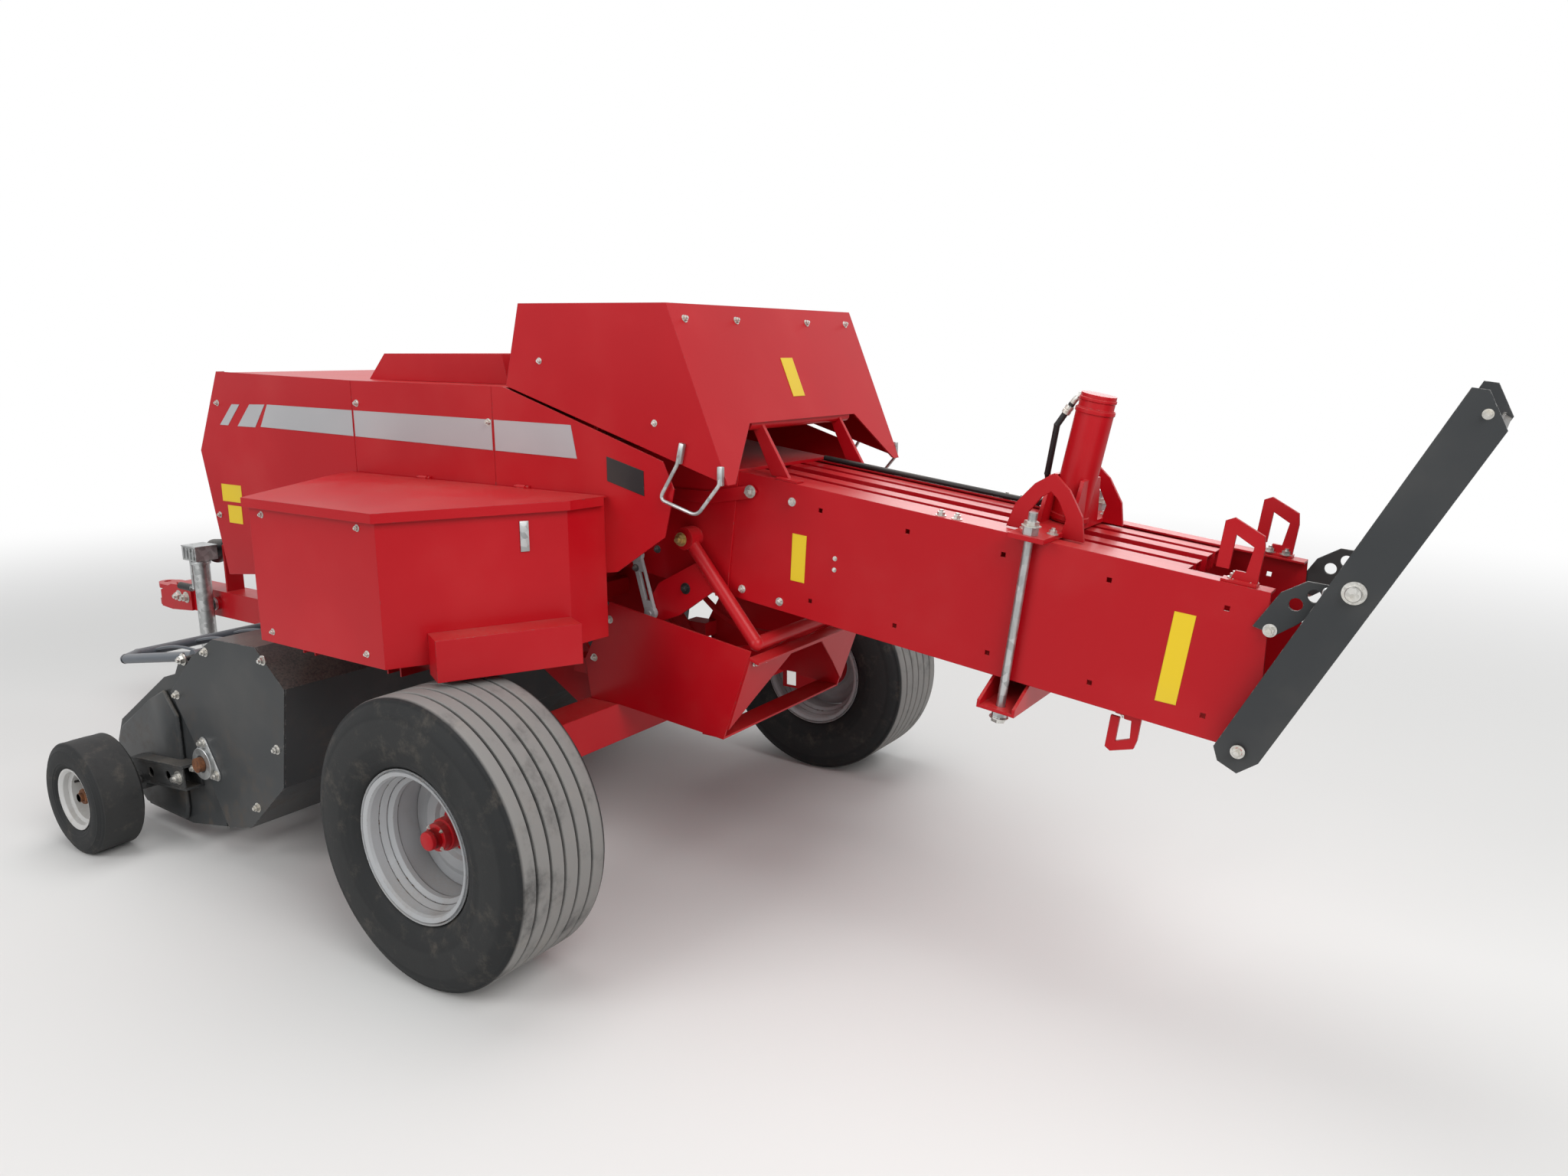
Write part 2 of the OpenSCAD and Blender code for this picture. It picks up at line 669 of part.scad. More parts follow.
// Side shields: the hood's lower edge follows the rear part of their top edge
hood_tip = [-541, 1289];
hood_foot = [261, 1528];
hood_hinge = hood_foot + [9, 12];
hood_pin = 5;
module side_shields() {
  gap = 7;
  outline = [[1788, deck_z + 9], [1947, 1259], [1840, 791], [1606, 817], [900, 850], [-150, 1020], [-326,
    1134], [-362, 1267],
    [-325, 1336 + 11 - gap], [hood_foot.x, hood_foot.y - gap], [hood_foot.x + 20, deck_z - 19], [994,
      deck_z - 12]];
  from_axle() color(red) both_sides() {
    difference() {
      side_plate(outline, shield_y - skin, skin);
      for (x = [323, 994]) translate([x, shield_y - 1, 700]) cube([4, 2, 1000]);
    }
    // Lip folded in along the front and the bottom edge
    side_plate([[1788, deck_z + 9], [1947, 1259], [1943, 1257], [1784, deck_z + 9]], shield_y - 30, 30);
    side_plate([[1947, 1259], [1840, 791], [1836, 793], [1943, 1260]], shield_y - 30, 30);
  }
}

cover = [430, 1120];
module deck() {
  half = shield_y - skin - seat;
  from_axle() color(red) {
    side_plate([[hood_foot.x + 22, deck_z - 22], [994, deck_z - 15], [1780, deck_z + 5], [1776, deck_z + 1],
      [994, deck_z - 19], [hood_foot.x + 22, deck_z - 26]], -half, 2 * half);
    // Rear lugs and pins of the hood's hinges
    both_sides() {
      for (y = [240, 308]) side_plate([[hood_foot.x + 24, deck_z - 25], [hood_foot.x + 46, deck_z - 22],
        hood_hinge + [8, 6], hood_hinge + [-3, 8], hood_hinge + [-8, -2]], y, 12);
      cross_bar(hood_hinge.x, hood_hinge.y, hood_pin, 241, 319);
    }
    // Nose panel that slopes down in front of the gearbox
    side_plate([[1780, deck_z + 5], [1937, 1259], [1932, 1259], [1776, deck_z + 2]], -half + 31, 2 * half - 62);
    // Raised cover on the deck
    difference() {
      side_plate([[cover[0], deck_z - 20], [cover[0] + 25, deck_z + 74], [cover[1] - 90, deck_z + 74],
        [cover[1], deck_z - 13]], -300, 600);
      side_plate([[cover[0] + 5, deck_z - 30], [cover[0] + 29, deck_z + 70], [cover[1] - 93, deck_z + 70],
        [cover[1] - 6, deck_z - 30]], -296, 592);
    }
    // Braces that seat the shields and the deck on the frame
    both_sides() {
      translate([1300, case_y + frame_t + 2 * seat, 1090]) cube([50, half - case_y - frame_t - 2 * seat, 40]);
      translate([1300, half - 8, 1090]) cube([50, 8, deck_z - 14 - 1090]);
    }
  }
}

module hood() {
  t = skin;
  roof_front = [196, hood_z + 5];
  roof_rear = [-347, hood_z - 5];
  outer = [hood_foot, roof_front, roof_rear, hood_tip];
  inner = [hood_foot + [-9, -8], roof_front + [-4, -t], roof_rear + [3, -t], hood_tip + [6, -2]];
  from_axle() color(red) {
    difference() {
      side_plate(outer, -shield_y, 2 * shield_y);
      side_plate(inner, -shield_y + t, 2 * shield_y - 2 * t);
      // Open underside, cut along the line from the tips to the foot
      side_plate([hood_tip, hood_foot + [-1, 0], hood_foot + [-8, -60], hood_tip + [10, -60]],
        -shield_y + t, 2 * shield_y - 2 * t);
      // Notch in the rear face, wide at the tips and narrow above
      translate([hood_tip.x - 60, 0, 0]) rotate([90, 0, 90]) linear_extrude(260)
        polygon([[-432, hood_tip.y - 20], [432, hood_tip.y - 20], [432, hood_tip.y], [280, 1436], [-280,
          1436], [-432, hood_tip.y]]);
    }
    // Hinge knuckles at the front foot
    both_sides() difference() {
      union() {
        cross_bar(hood_hinge.x, hood_hinge.y, 2 * hood_pin, 254, 306);
        side_plate([hood_foot + [-9, 4], hood_hinge + [0, -9.5], hood_hinge + [0, 9.5], hood_foot + [-14,
          22]], 254, 52);
      }
      cross_bar(hood_hinge.x, hood_hinge.y, hood_pin + run, 250, 310);
    }
  }
}

module needle_yoke() {
  swing = [cos(yoke_rest), sin(yoke_rest)];
  foot = [yoke_x, yoke_z] + needle_r * swing;
  // The arms start in the wall of their pivot eyes
  start = [yoke_x, yoke_z] + (yoke_pin + 4) * swing;
  from_axle() color(red) difference() {
    union() {
      both_sides() {
        rod([start.x, yoke_y, start.y], [foot.x, yoke_y, foot.y], yoke_r);
        cross_bar(yoke_x, yoke_z, 33, yoke_y - eye_half, yoke_y + eye_half);
        translate([foot.x, yoke_y, foot.y]) sphere(yoke_r * 1.06, $fn = 24);
      }
      cross_bar(foot.x, foot.y, yoke_r, -yoke_y, yoke_y);
      // Gusset plate and the ear of the drive link, on the left arm
      side_plate([for (p = [[-50, -60], [-95, -145], [35, -235], [100, -260], [155, -255], [160, -220],
        [110, -145]])
        [yoke_x, yoke_z] + p], yoke_y - 5, 10);
      // Curved needles: arcs about the pivot with tapered tips
      both_sides() translate([yoke_x, needle_y + needle_t / 2, yoke_z]) rotate([90, 0, 0]) rotate([0, 0,
        yoke_rest])
        linear_extrude(needle_t) needle_arc();
    }
    both_sides() cross_bar(yoke_x, yoke_z, yoke_pin + run, yoke_y - 40, yoke_y + 40);
    cross_bar(yoke_x + 10, yoke_z - 150, 12, 200, 340);
    cross_bar(link_at.x, link_at.y, 8 + run, 200, 340);
  }
}

// Flat outline of one needle, growing thinner along its arc
module needle_arc() {
  steps = 14;
  function at(i, s) = let (a = needle_reach * i / steps,
    w = needle_h / 2 * (1 - 0.75 * i / steps)) (needle_r + s * w) * [cos(a), sin(a)];
  polygon([for (i = [0 : steps]) at(i, 1), for (i = [steps : -1 : 0]) at(i, -1)]);
}

module yoke_link() {
  y = yoke_y + 5 + 1;
  from_axle() color(silver) translate([link_at.x, 0, link_at.y]) {
    cross_bar(0, 0, 8, yoke_y - 8, y + 22);
    difference() {
      union() {
        cross_bar(0, 0, 20, y, y + 16);
        side_plate([[-19, 0], [19, 0], [67, 168], [31, 168]], y + 2, 12);
        cross_bar(49, 172, 22, y, y + 16);
      }
      cross_bar(49, 172, 10, y - 1, y + 17);
      side_plate([[-3, 38], [15, 38], [39, 123], [21, 123]], y - 1, 20);
    }
  }
}

guard_y = 312;
module needle_guard() {
  t = 6;
  top = [yoke_x - 253, yoke_z - 292];
  low = [yoke_x - 155, yoke_z - 569];
  on_axle = axle_z + axle_h / 2 + seat;
  lean = atan((low.x - top.x) / (top.y - low.y));
  from_axle() color(red) {
    both_sides() side_plate([[20, 884], top, low, [-6, on_axle], [110, on_axle], [130, 690]], guard_y, t);
    // Rear face: a channel across the top and a gusset down each side
    translate([top.x, 0, top.y]) rotate([0, -lean, 0]) {
      translate([1 - t, -guard_y - 1, -62]) cube([t, 2 * guard_y + 2, 42]);
      translate([-34, -guard_y - 1, -28]) cube([34, 2 * guard_y + 2, 8]);
      both_sides() translate([1 - t, 0, 0]) rotate([90, 0, 90]) linear_extrude(t)
        polygon([[guard_y + 1, -22], [40, -22], [guard_y - 100, -170], [guard_y + 1, -262]]);
    }
    // Strips across the bottom
    translate([low.x, -guard_y - 1, low.y]) cube([80, 2 * guard_y + 2, t]);
    translate([100, -guard_y - 1, on_axle]) cube([t, 2 * guard_y + 2, 60]);
    // Stays that join the guard to the frame
    both_sides() translate([96, case_y + seat + frame_t, 640]) cube([90,
      guard_y + 1 - case_y - seat - frame_t, 50]);
  }
}

// Plan of a twine box: outer face, slanted ends and the face on the shield
box_wall = 4;
box_in = shield_y + seat;
lid_t = 4;
lid_z = box_z + box_h + seat;
hinge_gap = 8;
// Hinge pins of a lid: where each starts, how long it is, and its axis above the box's inner wall
lid_hinges = [180, 620];
hinge_l = 60;
hinge_pin = 3;
hinge_y = box_in + 7;
hinge_z = lid_z + lid_t + 2.5;
module box_shape(inset) {
  polygon([[1000 - inset * 1.2, box_in + inset], [950 - inset * 1.05, 600], [680 - inset * 0.6,
    box_y - inset], [130 + inset * 0.6, box_y - inset],
    [-100 + inset * 1.05, 600], [-110 + inset * 1.0, box_in + inset]]);
}

module twine_box() {
  difference() {
    translate([0, 0, box_z]) linear_extrude(box_h) box_shape(0);
    translate([0, 0, box_z + box_wall]) linear_extrude(box_h) box_shape(box_wall);
  }
  // Hinge lugs on the inner wall, with their pins
  for (x = lid_hinges) {
    for (x1 = [x, x + hinge_l - 12]) translate([x1, box_in, lid_z - 14]) cube([12, hinge_gap - 0.6,
      hinge_z + 5 - lid_z + 14]);
    translate([x, hinge_y, hinge_z]) rotate([0, 90, 0]) cylinder(r = hinge_pin, h = hinge_l);
  }
}

module twine_box_left() { from_axle() color(red) twine_box(); }

module twine_box_right() { from_axle() color(red) mirror([0, 1, 0]) twine_box(); }

module lid_shape(y0, lip) {
  polygon([[996 + lip, y0], [946 + lip, 604], [680 + lip / 2, box_y + lip], [130 - lip / 2, box_y + lip],
    [-100 - lip, 604], [-110 - lip, y0]]);
}

module twine_lid() {
  lip = 16;
  difference() {
    union() {
      translate([0, 0, lid_z]) linear_extrude(lid_t) lid_shape(box_in + hinge_gap, lip);
      // Down-turned lip round the free edges
      difference() {
        translate([0, 0, lid_z - 22]) linear_extrude(24) lid_shape(box_in + hinge_gap + 10, lip);
        translate([0, 0, lid_z - 30]) linear_extrude(32) lid_shape(box_in, lip - 5);
      }
      for (x = lid_hinges) translate([x + 13, hinge_y, hinge_z]) rotate([0, 90, 0])
        cylinder(r = 2 * hinge_pin + 0.5, h = hinge_l - 26);
    }
    for (x = lid_hinges) translate([x - 1, hinge_y, hinge_z]) rotate([0, 90, 0])
      cylinder(r = hinge_pin + run, h = hinge_l + 2);
  }
}

module twine_lid_left() { from_axle() color(red) twine_lid(); }

module twine_lid_right() { from_axle() color(red) mirror([0, 1, 0]) twine_lid(); }

// Step boxes on the slanted rear face of each twine box
module steps() {
  along = atan2(600 - box_y, -100 - 130);
  from_axle() color(red) both_sides() translate([130, box_y, 802]) rotate([0, 0, along]) translate([110,
    -95 - seat, 0]) difference() {
    cube([384, 95, 110]);
    translate([4, 4, -1]) cube([376, 95, 107]);
  }
}

// Throat from the pickup housing's slanted roof up to the underside of the case, open at both ends
module feed_housing() {
  t = 5;
  function under_case(x) = floor_z(x) - sheet / cos(slope) - seat;
  foot = inner_line(housing[6], housing[7], seat, 0);
  rear = [feed_from + 20, under_case(feed_from + 20)];
  front = [feed_to - 10, under_case(feed_to - 10)];
  from_axle() color(red) difference() {
    side_plate([foot[0], rear, front, foot[1]], -feed_y + 3, 2 * feed_y - 6);
    side_plate(concat(inner_line(rear, foot[0], t, 60), inner_line(foot[1], front, t, 60)), -feed_y + 3 + t,
      2 * feed_y - 6 - 2 * t);
  }
}

// End panels of the full-width pickup housing, with the flanges of the auger's bearings
panel_t = 5;
module pickup_panels() {
  from_axle() {
    color(charcoal) both_sides() difference() {
      side_plate(housing, housing_y - panel_t, panel_t);
      cross_bar(auger_x, auger_z, 24 + clear, housing_y - 20, housing_y + 20);
    }
    color(zinc) both_sides() difference() {
      cross_bar(auger_x, auger_z, 52, housing_y + seat, housing_y + 16);
      cross_bar(auger_x, auger_z, 24 + run, housing_y - 20, housing_y + 30);
    }
  }
}

// Shell between the panels: roof, back wall and trough, open to the front
module pickup_housing() {
  t = panel_t;
  half = housing_y - t - seat;
  // The roof stops short of the panels' front corner, clear of the raised crop guard
  lip = housing[8] + 0.7 * (housing[0] - housing[8]);
  from_axle() color(charcoal) difference() {
    side_plate([housing[3], housing[4], housing[5], housing[6], housing[7], housing[8], lip,
      lip + [-3, -t], housing[8] + [-1, -t], housing[7] + [3, -t], housing[6] + [t, -2], housing[5] + [t, 3],
      housing[4] + [2, t], housing[3] + [1, t]], -half, 2 * half);
    // Window where the crop leaves for the throat
    translate([housing[6].x + 12, -feed_y + 12, 620])
      cube([housing[7].x - housing[6].x - 24, 2 * feed_y - 24, 160]);
  }
}

// Feed auger: opposed flights carry the crop to the middle, where paddles take it
module flight(side) {
  pitch = 330;
  length = housing_y - 75 - feed_y;
  translate([auger_x, side * feed_y, auger_z]) rotate([-90 * side, 0, 0])
    linear_extrude(length, twist = side * 360 * length / pitch, slices = 40, segments = 4) translate([46,
      -5]) square([flight_r - 46, 10]);
}

module feed_auger() {
  from_axle() color(charcoal) difference() {
    union() {
      cross_bar(auger_x, auger_z, 50, -housing_y + 62, housing_y - 62);
      for (side = [-1, 1]) flight(side);
      for (k = [0 : 3]) translate([auger_x, 0, auger_z]) rotate([0, 90 * k, 0])
        translate([44, -feed_y + 30, -4]) cube([flight_r - 44, 2 * feed_y - 60, 8]);
    }
    cross_bar(auger_x, auger_z, 24 + seat, -housing_y, housing_y);
  }
}

// Shaft that the auger is pinned to, out through the bearings on both sides
module auger_shaft() { from_axle() color(rust) cross_bar(auger_x, auger_z, 24, -housing_y - 34,
  housing_y + 34); }

// Pickup frame: end plates, rear cross tube, and the stripper bands that the tines pass between
plate_outline = [[1470, 560], [1800, 350], [1846, 262], [1672, 62], [1392, 56], [1180, 96], [1150, 250],
  [1150, 372], [1240, 420], [1380, 588]];
band_in = bar_r + 46;
cross_x = 1352;
cross_z = 130;
guard_pin = 9;
module pickup_frame() {
  t = 6;
  pitch = 2 * (frame_y - 30) / bands;
  from_axle() color(charcoal) {
    both_sides() difference() {
      side_plate(plate_outline, frame_y - t, t);
      cross_bar(auger_x, auger_z, 24 + clear, frame_y - 20, frame_y + 20);
      cross_bar(reel_x, reel_z, 20 + run, frame_y - 20, frame_y + 20);
    }
    // Pivot rings round the auger shaft
    both_sides() difference() {
      cross_bar(auger_x, auger_z, 40, frame_y - 20, frame_y - t + 1);
      cross_bar(auger_x, auger_z, 24 + run, frame_y - 30, frame_y + 10);
    }
    cross_bar(cross_x, cross_z, 24, -frame_y + 2, frame_y - 2);
    // Lugs and pins of the crop guard's pivots
    both_sides() {
      side_plate([[1400, 578], [1365, 556], [guard_pivot_x - 22, guard_pivot_z - 8], [guard_pivot_x,
        guard_pivot_z + 22],
        [guard_pivot_x + 22, guard_pivot_z]], frame_y - t, t);
      cross_bar(guard_pivot_x, guard_pivot_z, guard_pin, frame_y - 72, frame_y - t + 1);
    }
    // Bands: arcs over the reel between the planes of the tines
    for (k = [0 : bands - 1]) translate([reel_x, -frame_y + 30 + (k + 0.5) * pitch + 21, reel_z])
      rotate([90, 0, 0]) stripper(42);
  }
}

// One stripper band, open at the rear where the crop leaves the tines
module stripper(w) {
  rotate([0, 0, -158]) rotate_extrude(angle = 285, $fn = 40) translate([band_in, 0]) square([4, w]);
  // Straight tail from near the band's lower end into the cross tube
  from = (band_in - 3) * [cos(155), -sin(155)];
  to = [cross_x - reel_x, cross_z - reel_z];
  side = 3 * [from.y - to.y, to.x - from.x] / norm(to - from);
  translate([0, 0, 1]) linear_extrude(w - 2) polygon([from + side, from - side, to - side, to + side]);
}

// Reel: shaft, end spiders, bars and spring tines in step between the bands
module tine_reel() {
  pitch = 2 * (frame_y - 30) / bands;
  from_axle() {
    color(rust) cross_bar(reel_x, reel_z, 20, -frame_y - 14, frame_y + 14);
    color(charcoal) for (y = [-frame_y + 22, -5, frame_y - 32]) translate([reel_x, y + 10, reel_z])
      rotate([90, 0, 0]) {
      cylinder(r = 60, h = 10);
      for (k = [0 : bar_count - 1]) rotate([0, 0, 360 / bar_count * k]) translate([30, -18, 0])
        cube([bar_r - 20, 36, 10]);
    }
    color(charcoal) for (k = [0 : bar_count - 1]) translate([reel_x, 0, reel_z]) rotate([0,
      360 / bar_count * k, 0])
      cross_bar(bar_r, 0, 15, -frame_y + 22, frame_y - 22);
    color(zinc) for (k = [0 : bar_count - 1], i = [1 : bands - 1]) translate([reel_x,
      -frame_y + 30 + i * pitch, reel_z])
      rotate([0, 360 / bar_count * k, 0]) translate([bar_r + 4, -4, -3]) rotate([0, 8, 0])
        cube([tine_r - bar_r - 8, 8, 6]);
  }
}

// Crop guard: a bent tube over the reel with a row of trailing rods
module crop_guard() {
  y = frame_y - 52;
  front = [1890, 548];
  knee = front + [-60, 6];
  // The tube starts in the wall of its pivot eye
  pivot = [guard_pivot_x, guard_pivot_z];
  start = pivot + 14 * (knee - pivot) / norm(knee - pivot);
  arc_r = 780;
  arc_from = 19;
  arc_a = 35;
  from_axle() color(dark) {
    bent_rod([[start.x, -y, start.y], [knee.x, -y, knee.y], [front.x, -y + 70, front.y], [front.x, y - 70,
      front.y],
      [knee.x, y, knee.y], [start.x, y, start.y]], 17);
    both_sides() difference() {
      cross_bar(guard_pivot_x, guard_pivot_z, 24, y - 18, y + 18);
      cross_bar(guard_pivot_x, guard_pivot_z, guard_pin + run, y - 20, y + 20);
    }
    // Trailing rods: arcs that start in the front tube and pass over the reel
    for (k = [-5 : 5]) translate([front.x - arc_r * sin(arc_from), k * 150,
      front.y - arc_r * cos(arc_from)]) rotate([90, arc_from - 90, 0])
      rotate_extrude(angle = arc_a) translate([arc_r, 0]) circle(5);
  }
}

// Arms of the gauge wheels: channels bolted outside the end plates, with their stub axles
module gauge_arms() {
  from_axle() color(charcoal) both_sides() {
    difference() {
      translate([1290, frame_y + seat, 215]) rotate([0, 6, 0]) cube([gauge_x - 1250, 62, 84]);
      translate([1286, frame_y + 8, 223]) rotate([0, 6, 0]) translate([-2, 0, 0]) cube([gauge_x - 1240, 62,
        68]);
    }
    translate([gauge_x - 6, frame_y + 3, gauge_r]) rotate([-90, 0, 0]) cylinder(r = 34, h = 59);
    cross_bar(gauge_x, gauge_r, stub_r, frame_y + 60, gauge_y + 52);
  }
}

// Half a section, mirrored across the wheel's middle plane: points run from the tread's side inwards
function both_halves(p) = concat(p, [for (i = [len(p) - 1 : -1 : 0]) [p[i].x, -p[i].y]]);

// Tyre section: flat ribbed tread, rounded shoulders, bulged walls and beads that sit on the rim
module tyre_ring(r, w, seat_r, flange_h, ribs) {
  half = w / 2;
  low = seat_r + flange_h + 6;
  wall = r - 12 - low;
  side = [for (a = [75 : -25 : -75]) [low + wall * (0.5 + 0.5 * sin(a) / sin(75)),
    half - wall * 0.2 * (1 - cos(a))]];
  bead = [[seat_r + flange_h + 2, half * 0.82], [seat_r + seat, half * 0.79], [seat_r + seat, half * 0.62]];
  groove = ribs > 0 ? w * 0.82 / ribs : 0;
  difference() {
    rotate_extrude($fn = 72) polygon(both_halves(concat([[r, half * 0.80], [r - 5, half * 0.86]], side, bead)));
    if (ribs > 0) for (i = [1 : ribs - 1]) translate([0, 0, -w * 0.41 + i * groove - 4]) difference() {
      cylinder(r = r + 2, h = 8);
      translate([0, 0, -1]) cylinder(r = r - 12, h = 10);
    }
  }
}

// Rim section: flanges, bead seats and a well, with a wall of one thickness
module rim_ring(seat_r, w, flange_h, well, t) {
  half = w / 2;
  outer = [[seat_r + flange_h, 0.87 * half], [seat_r + flange_h, 0.83 * half], [seat_r, 0.80 * half],
    [seat_r, 0.58 * half], [seat_r - well, 0.46 * half]];
  inner = [[seat_r - well - t, -0.42 * half], [seat_r - t, -0.56 * half], [seat_r - t, -0.84 * half]];
  rotate_extrude() polygon(concat(both_halves(outer), [for (i = [2 : -1 : 0]) inner[i]],
    [for (p = inner) [p.x, -p.y]]));
}

rim_flange = 17;
rim_well = 24;
module main_tyre_left() { from_axle() color(dark) at_wheel(1) tyre_ring(tyre_r, tyre_w, rim_r, rim_flange, 6); }

module main_tyre_right() { from_axle() color(dark) at_wheel(-1) tyre_ring(tyre_r, tyre_w, rim_r, rim_flange,
  6); }

// Rim, disc and hub of a main wheel
module main_rim() {
  color(silver) {
    rim_ring(rim_r, tyre_w, rim_flange, rim_well, 6);
    rotate_extrude() polygon([[66, -18], [rim_r - rim_well - 3, -10], [rim_r - rim_well - 3, 4], [66, -8]]);
  }
  color(red) difference() {
    union() {
      translate([0, 0, -104]) cylinder(r = 50, h = 112);
      translate([0, 0, -24]) cylinder(r = 84, h = 12);
      cylinder(r = 44, h = 52);
      translate([0, 0, 52]) cylinder(r = 38, h = 22);
      translate([0, 0, 74]) cylinder(r = 26, h = 32);
    }
    translate([0, 0, -110]) cylinder(r = spindle_r + run, h = 204);
  }
  color(zinc) for (k = [0 : 5]) rotate([0, 0, 60 * k]) translate([66, 0, -14]) cylinder(r = 11, h = 26,
    $fn = 6);
}

module main_rim_left() { from_axle() at_wheel(1) main_rim(); }

module main_rim_right() { from_axle() at_wheel(-1) main_rim(); }

module gauge_wheel(side) {
  translate([gauge_x, side * gauge_y, gauge_r]) rotate([-90 * side, 0, 0]) {
    color(dark) tyre_ring(gauge_r, gauge_w, gauge_rim, 9, 0);
    color(white) difference() {
      union() {
        rim_ring(gauge_rim, gauge_w, 9, 14, 5);
        rotate_extrude() polygon([[24, -4], [gauge_rim - 17, -4], [gauge_rim - 17, 4], [24, 4]]);
        translate([0, 0, -34]) cylinder(r = 26, h = 72);
      }
      translate([0, 0, -40]) cylinder(r = stub_r + run, h = 90);
    }
  }
}

module gauge_wheel_left() { from_axle() gauge_wheel(1); }

module gauge_wheel_right() { from_axle() gauge_wheel(-1); }

// Hydraulic hose along the chamber's right rail to the density cylinder
module hoses() {
  hose_r = 8;
  z = side_h + hose_r + seat;
  from_axle() color(dark) on_slope() bent_rod([[chamber_l - 20, -187, z], [saddle_s + 150, -187, z],
    [saddle_s + 96, -120, z + 34], [saddle_s + 84, -30, z + 110],
    [saddle_s + 70, 0, z + 240], [saddle_s + 40, 0, z + 300]], hose_r);
}

axle_beam();
main_frame();
tongue();
hitch_clevis();
jack_tube();
jack_leg();
chamber_left();
chamber_right();
chamber_floor();
tension_rails();
tension_cylinder();
tie_rods();
tension_beam();
chamber_handles();
chute_brackets();
chute_chains();
chute();
plunger_case();
knotters();
hood_stand();
gearbox();
flywheel();
drive_guard();
drive_yoke();
side_shields();
deck();
hood();
needle_yoke();
yoke_link();
needle_guard();
twine_box_left();
twine_box_right();
twine_lid_left();
twine_lid_right();
steps();
feed_housing();
pickup_housing();
pickup_panels();
feed_auger();
auger_shaft();
pickup_frame();
tine_reel();
crop_guard();
gauge_arms();
gauge_wheel_left();
gauge_wheel_right();
main_tyre_left();
main_tyre_right();
main_rim_left();
main_rim_right();
hoses();
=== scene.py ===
# %% [markdown]
# # Dressing a square baler
# The baler comes as imported solids, each with its real place and size. This lesson gives every solid a
# finish and adds what is too small or too fine for the solids: ribbed tyres, nuts and bolts, stripes, plates.
# Loading the frame first means that every later piece can be placed by the same measures as the machine.

# %% Load the solids and find the axle from a tyre's box
import json
import math
import bmesh
import bpy
from mathutils import Matrix, Vector


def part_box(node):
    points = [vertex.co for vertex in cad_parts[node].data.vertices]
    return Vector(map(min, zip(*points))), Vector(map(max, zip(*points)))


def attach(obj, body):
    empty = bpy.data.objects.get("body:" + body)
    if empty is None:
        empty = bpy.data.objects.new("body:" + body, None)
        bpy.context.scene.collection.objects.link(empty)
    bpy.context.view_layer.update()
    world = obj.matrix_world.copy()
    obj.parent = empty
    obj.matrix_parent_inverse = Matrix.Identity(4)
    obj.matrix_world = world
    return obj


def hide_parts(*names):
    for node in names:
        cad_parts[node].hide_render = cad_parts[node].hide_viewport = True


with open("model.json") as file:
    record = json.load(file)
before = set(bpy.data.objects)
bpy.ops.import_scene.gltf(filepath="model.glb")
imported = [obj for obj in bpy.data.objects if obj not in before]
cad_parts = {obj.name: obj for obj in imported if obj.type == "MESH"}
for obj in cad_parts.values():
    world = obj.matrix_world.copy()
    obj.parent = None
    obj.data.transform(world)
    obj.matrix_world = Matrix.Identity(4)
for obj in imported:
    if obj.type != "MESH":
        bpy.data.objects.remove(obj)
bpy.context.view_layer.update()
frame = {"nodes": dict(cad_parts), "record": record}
finish_of = {s["node"]: s["material_slot"] for s in frame["record"]["subparts"]}
low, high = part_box("main_tyre_left")
AXLE = (low.x + high.x) / 2
SIDES = (1, -1)  # Left and right
print(len(frame["nodes"]), "solids; the axle lies at x =", round(AXLE, 4))

# %% [markdown]
# ## The camera
# The photograph was taken by someone standing off the left rear corner, a little above the twine box, with
# a wide lens. A camera is set by a place, a heading, a dip and a lens, so those four are what we keep.
# Heights and widths are measured from the axle, and `at` moves a place from there into the scene.

# %% Camera
HEADING, DIP, LENS = -56.23, 12.11, 25.42


def at(x, y, z):
    """A place in metres ahead of the axle, to the left of the middle and above the ground."""
    return Vector((x + AXLE, y, z))


def add(name, data):
    """Adds an object to the scene."""
    made = bpy.data.objects.new(name, data)
    bpy.context.scene.collection.objects.link(made)
    return made


eye = bpy.data.cameras.new("eye")
eye.lens, eye.sensor_width = LENS, 36
camera = add("camera", eye)
camera.location = at(-2.236, 2.741, 1.629)
turn = Matrix.Rotation(math.radians(HEADING - 90), 3, "Z") @ Matrix.Rotation(math.radians(90 - DIP), 3, "X")
camera.rotation_euler = turn.to_euler()
bpy.context.scene.camera = camera
bpy.context.scene.view_settings.view_transform = "Standard"
print("camera at", [round(v, 3) for v in camera.location])

# %% [markdown]
# ## Floor and light
# A plain pale floor shows the shadow without drawing the eye. Large soft lamps light the machine from
# behind and from the left, where the sky was brightest, and the world fills in the rest.
# The world is plain white to the camera and to reflections, and much dimmer as a source of light.

# %% Helpers for nodes
def plug(tree, made, **sockets):
    """Fills a node's sockets. Names have _ for a space, i2 is socket 2, and a socket as value is linked."""
    for key, value in sockets.items():
        numbered = key[0] == "i" and key[1:].isdigit()
        socket = made.inputs[int(key[1:]) if numbered else key.replace("_", " ")]
        if isinstance(value, bpy.types.NodeSocket):
            tree.links.new(value, socket)
        else:
            socket.default_value = value


def node(tree, kind, settings=None, **sockets):
    """Adds a node with its settings and its sockets filled."""
    made = tree.nodes.new(kind)
    for key, value in (settings or {}).items():
        setattr(made, key, value)
    plug(tree, made, **sockets)
    return made


def maths(tree, how, *values):
    """The result of a sum on numbers."""
    sockets = {f"i{k}": value for k, value in enumerate(values)}
    return node(tree, "ShaderNodeMath", {"operation": how}, **sockets).outputs[0]


print("node helpers ready")


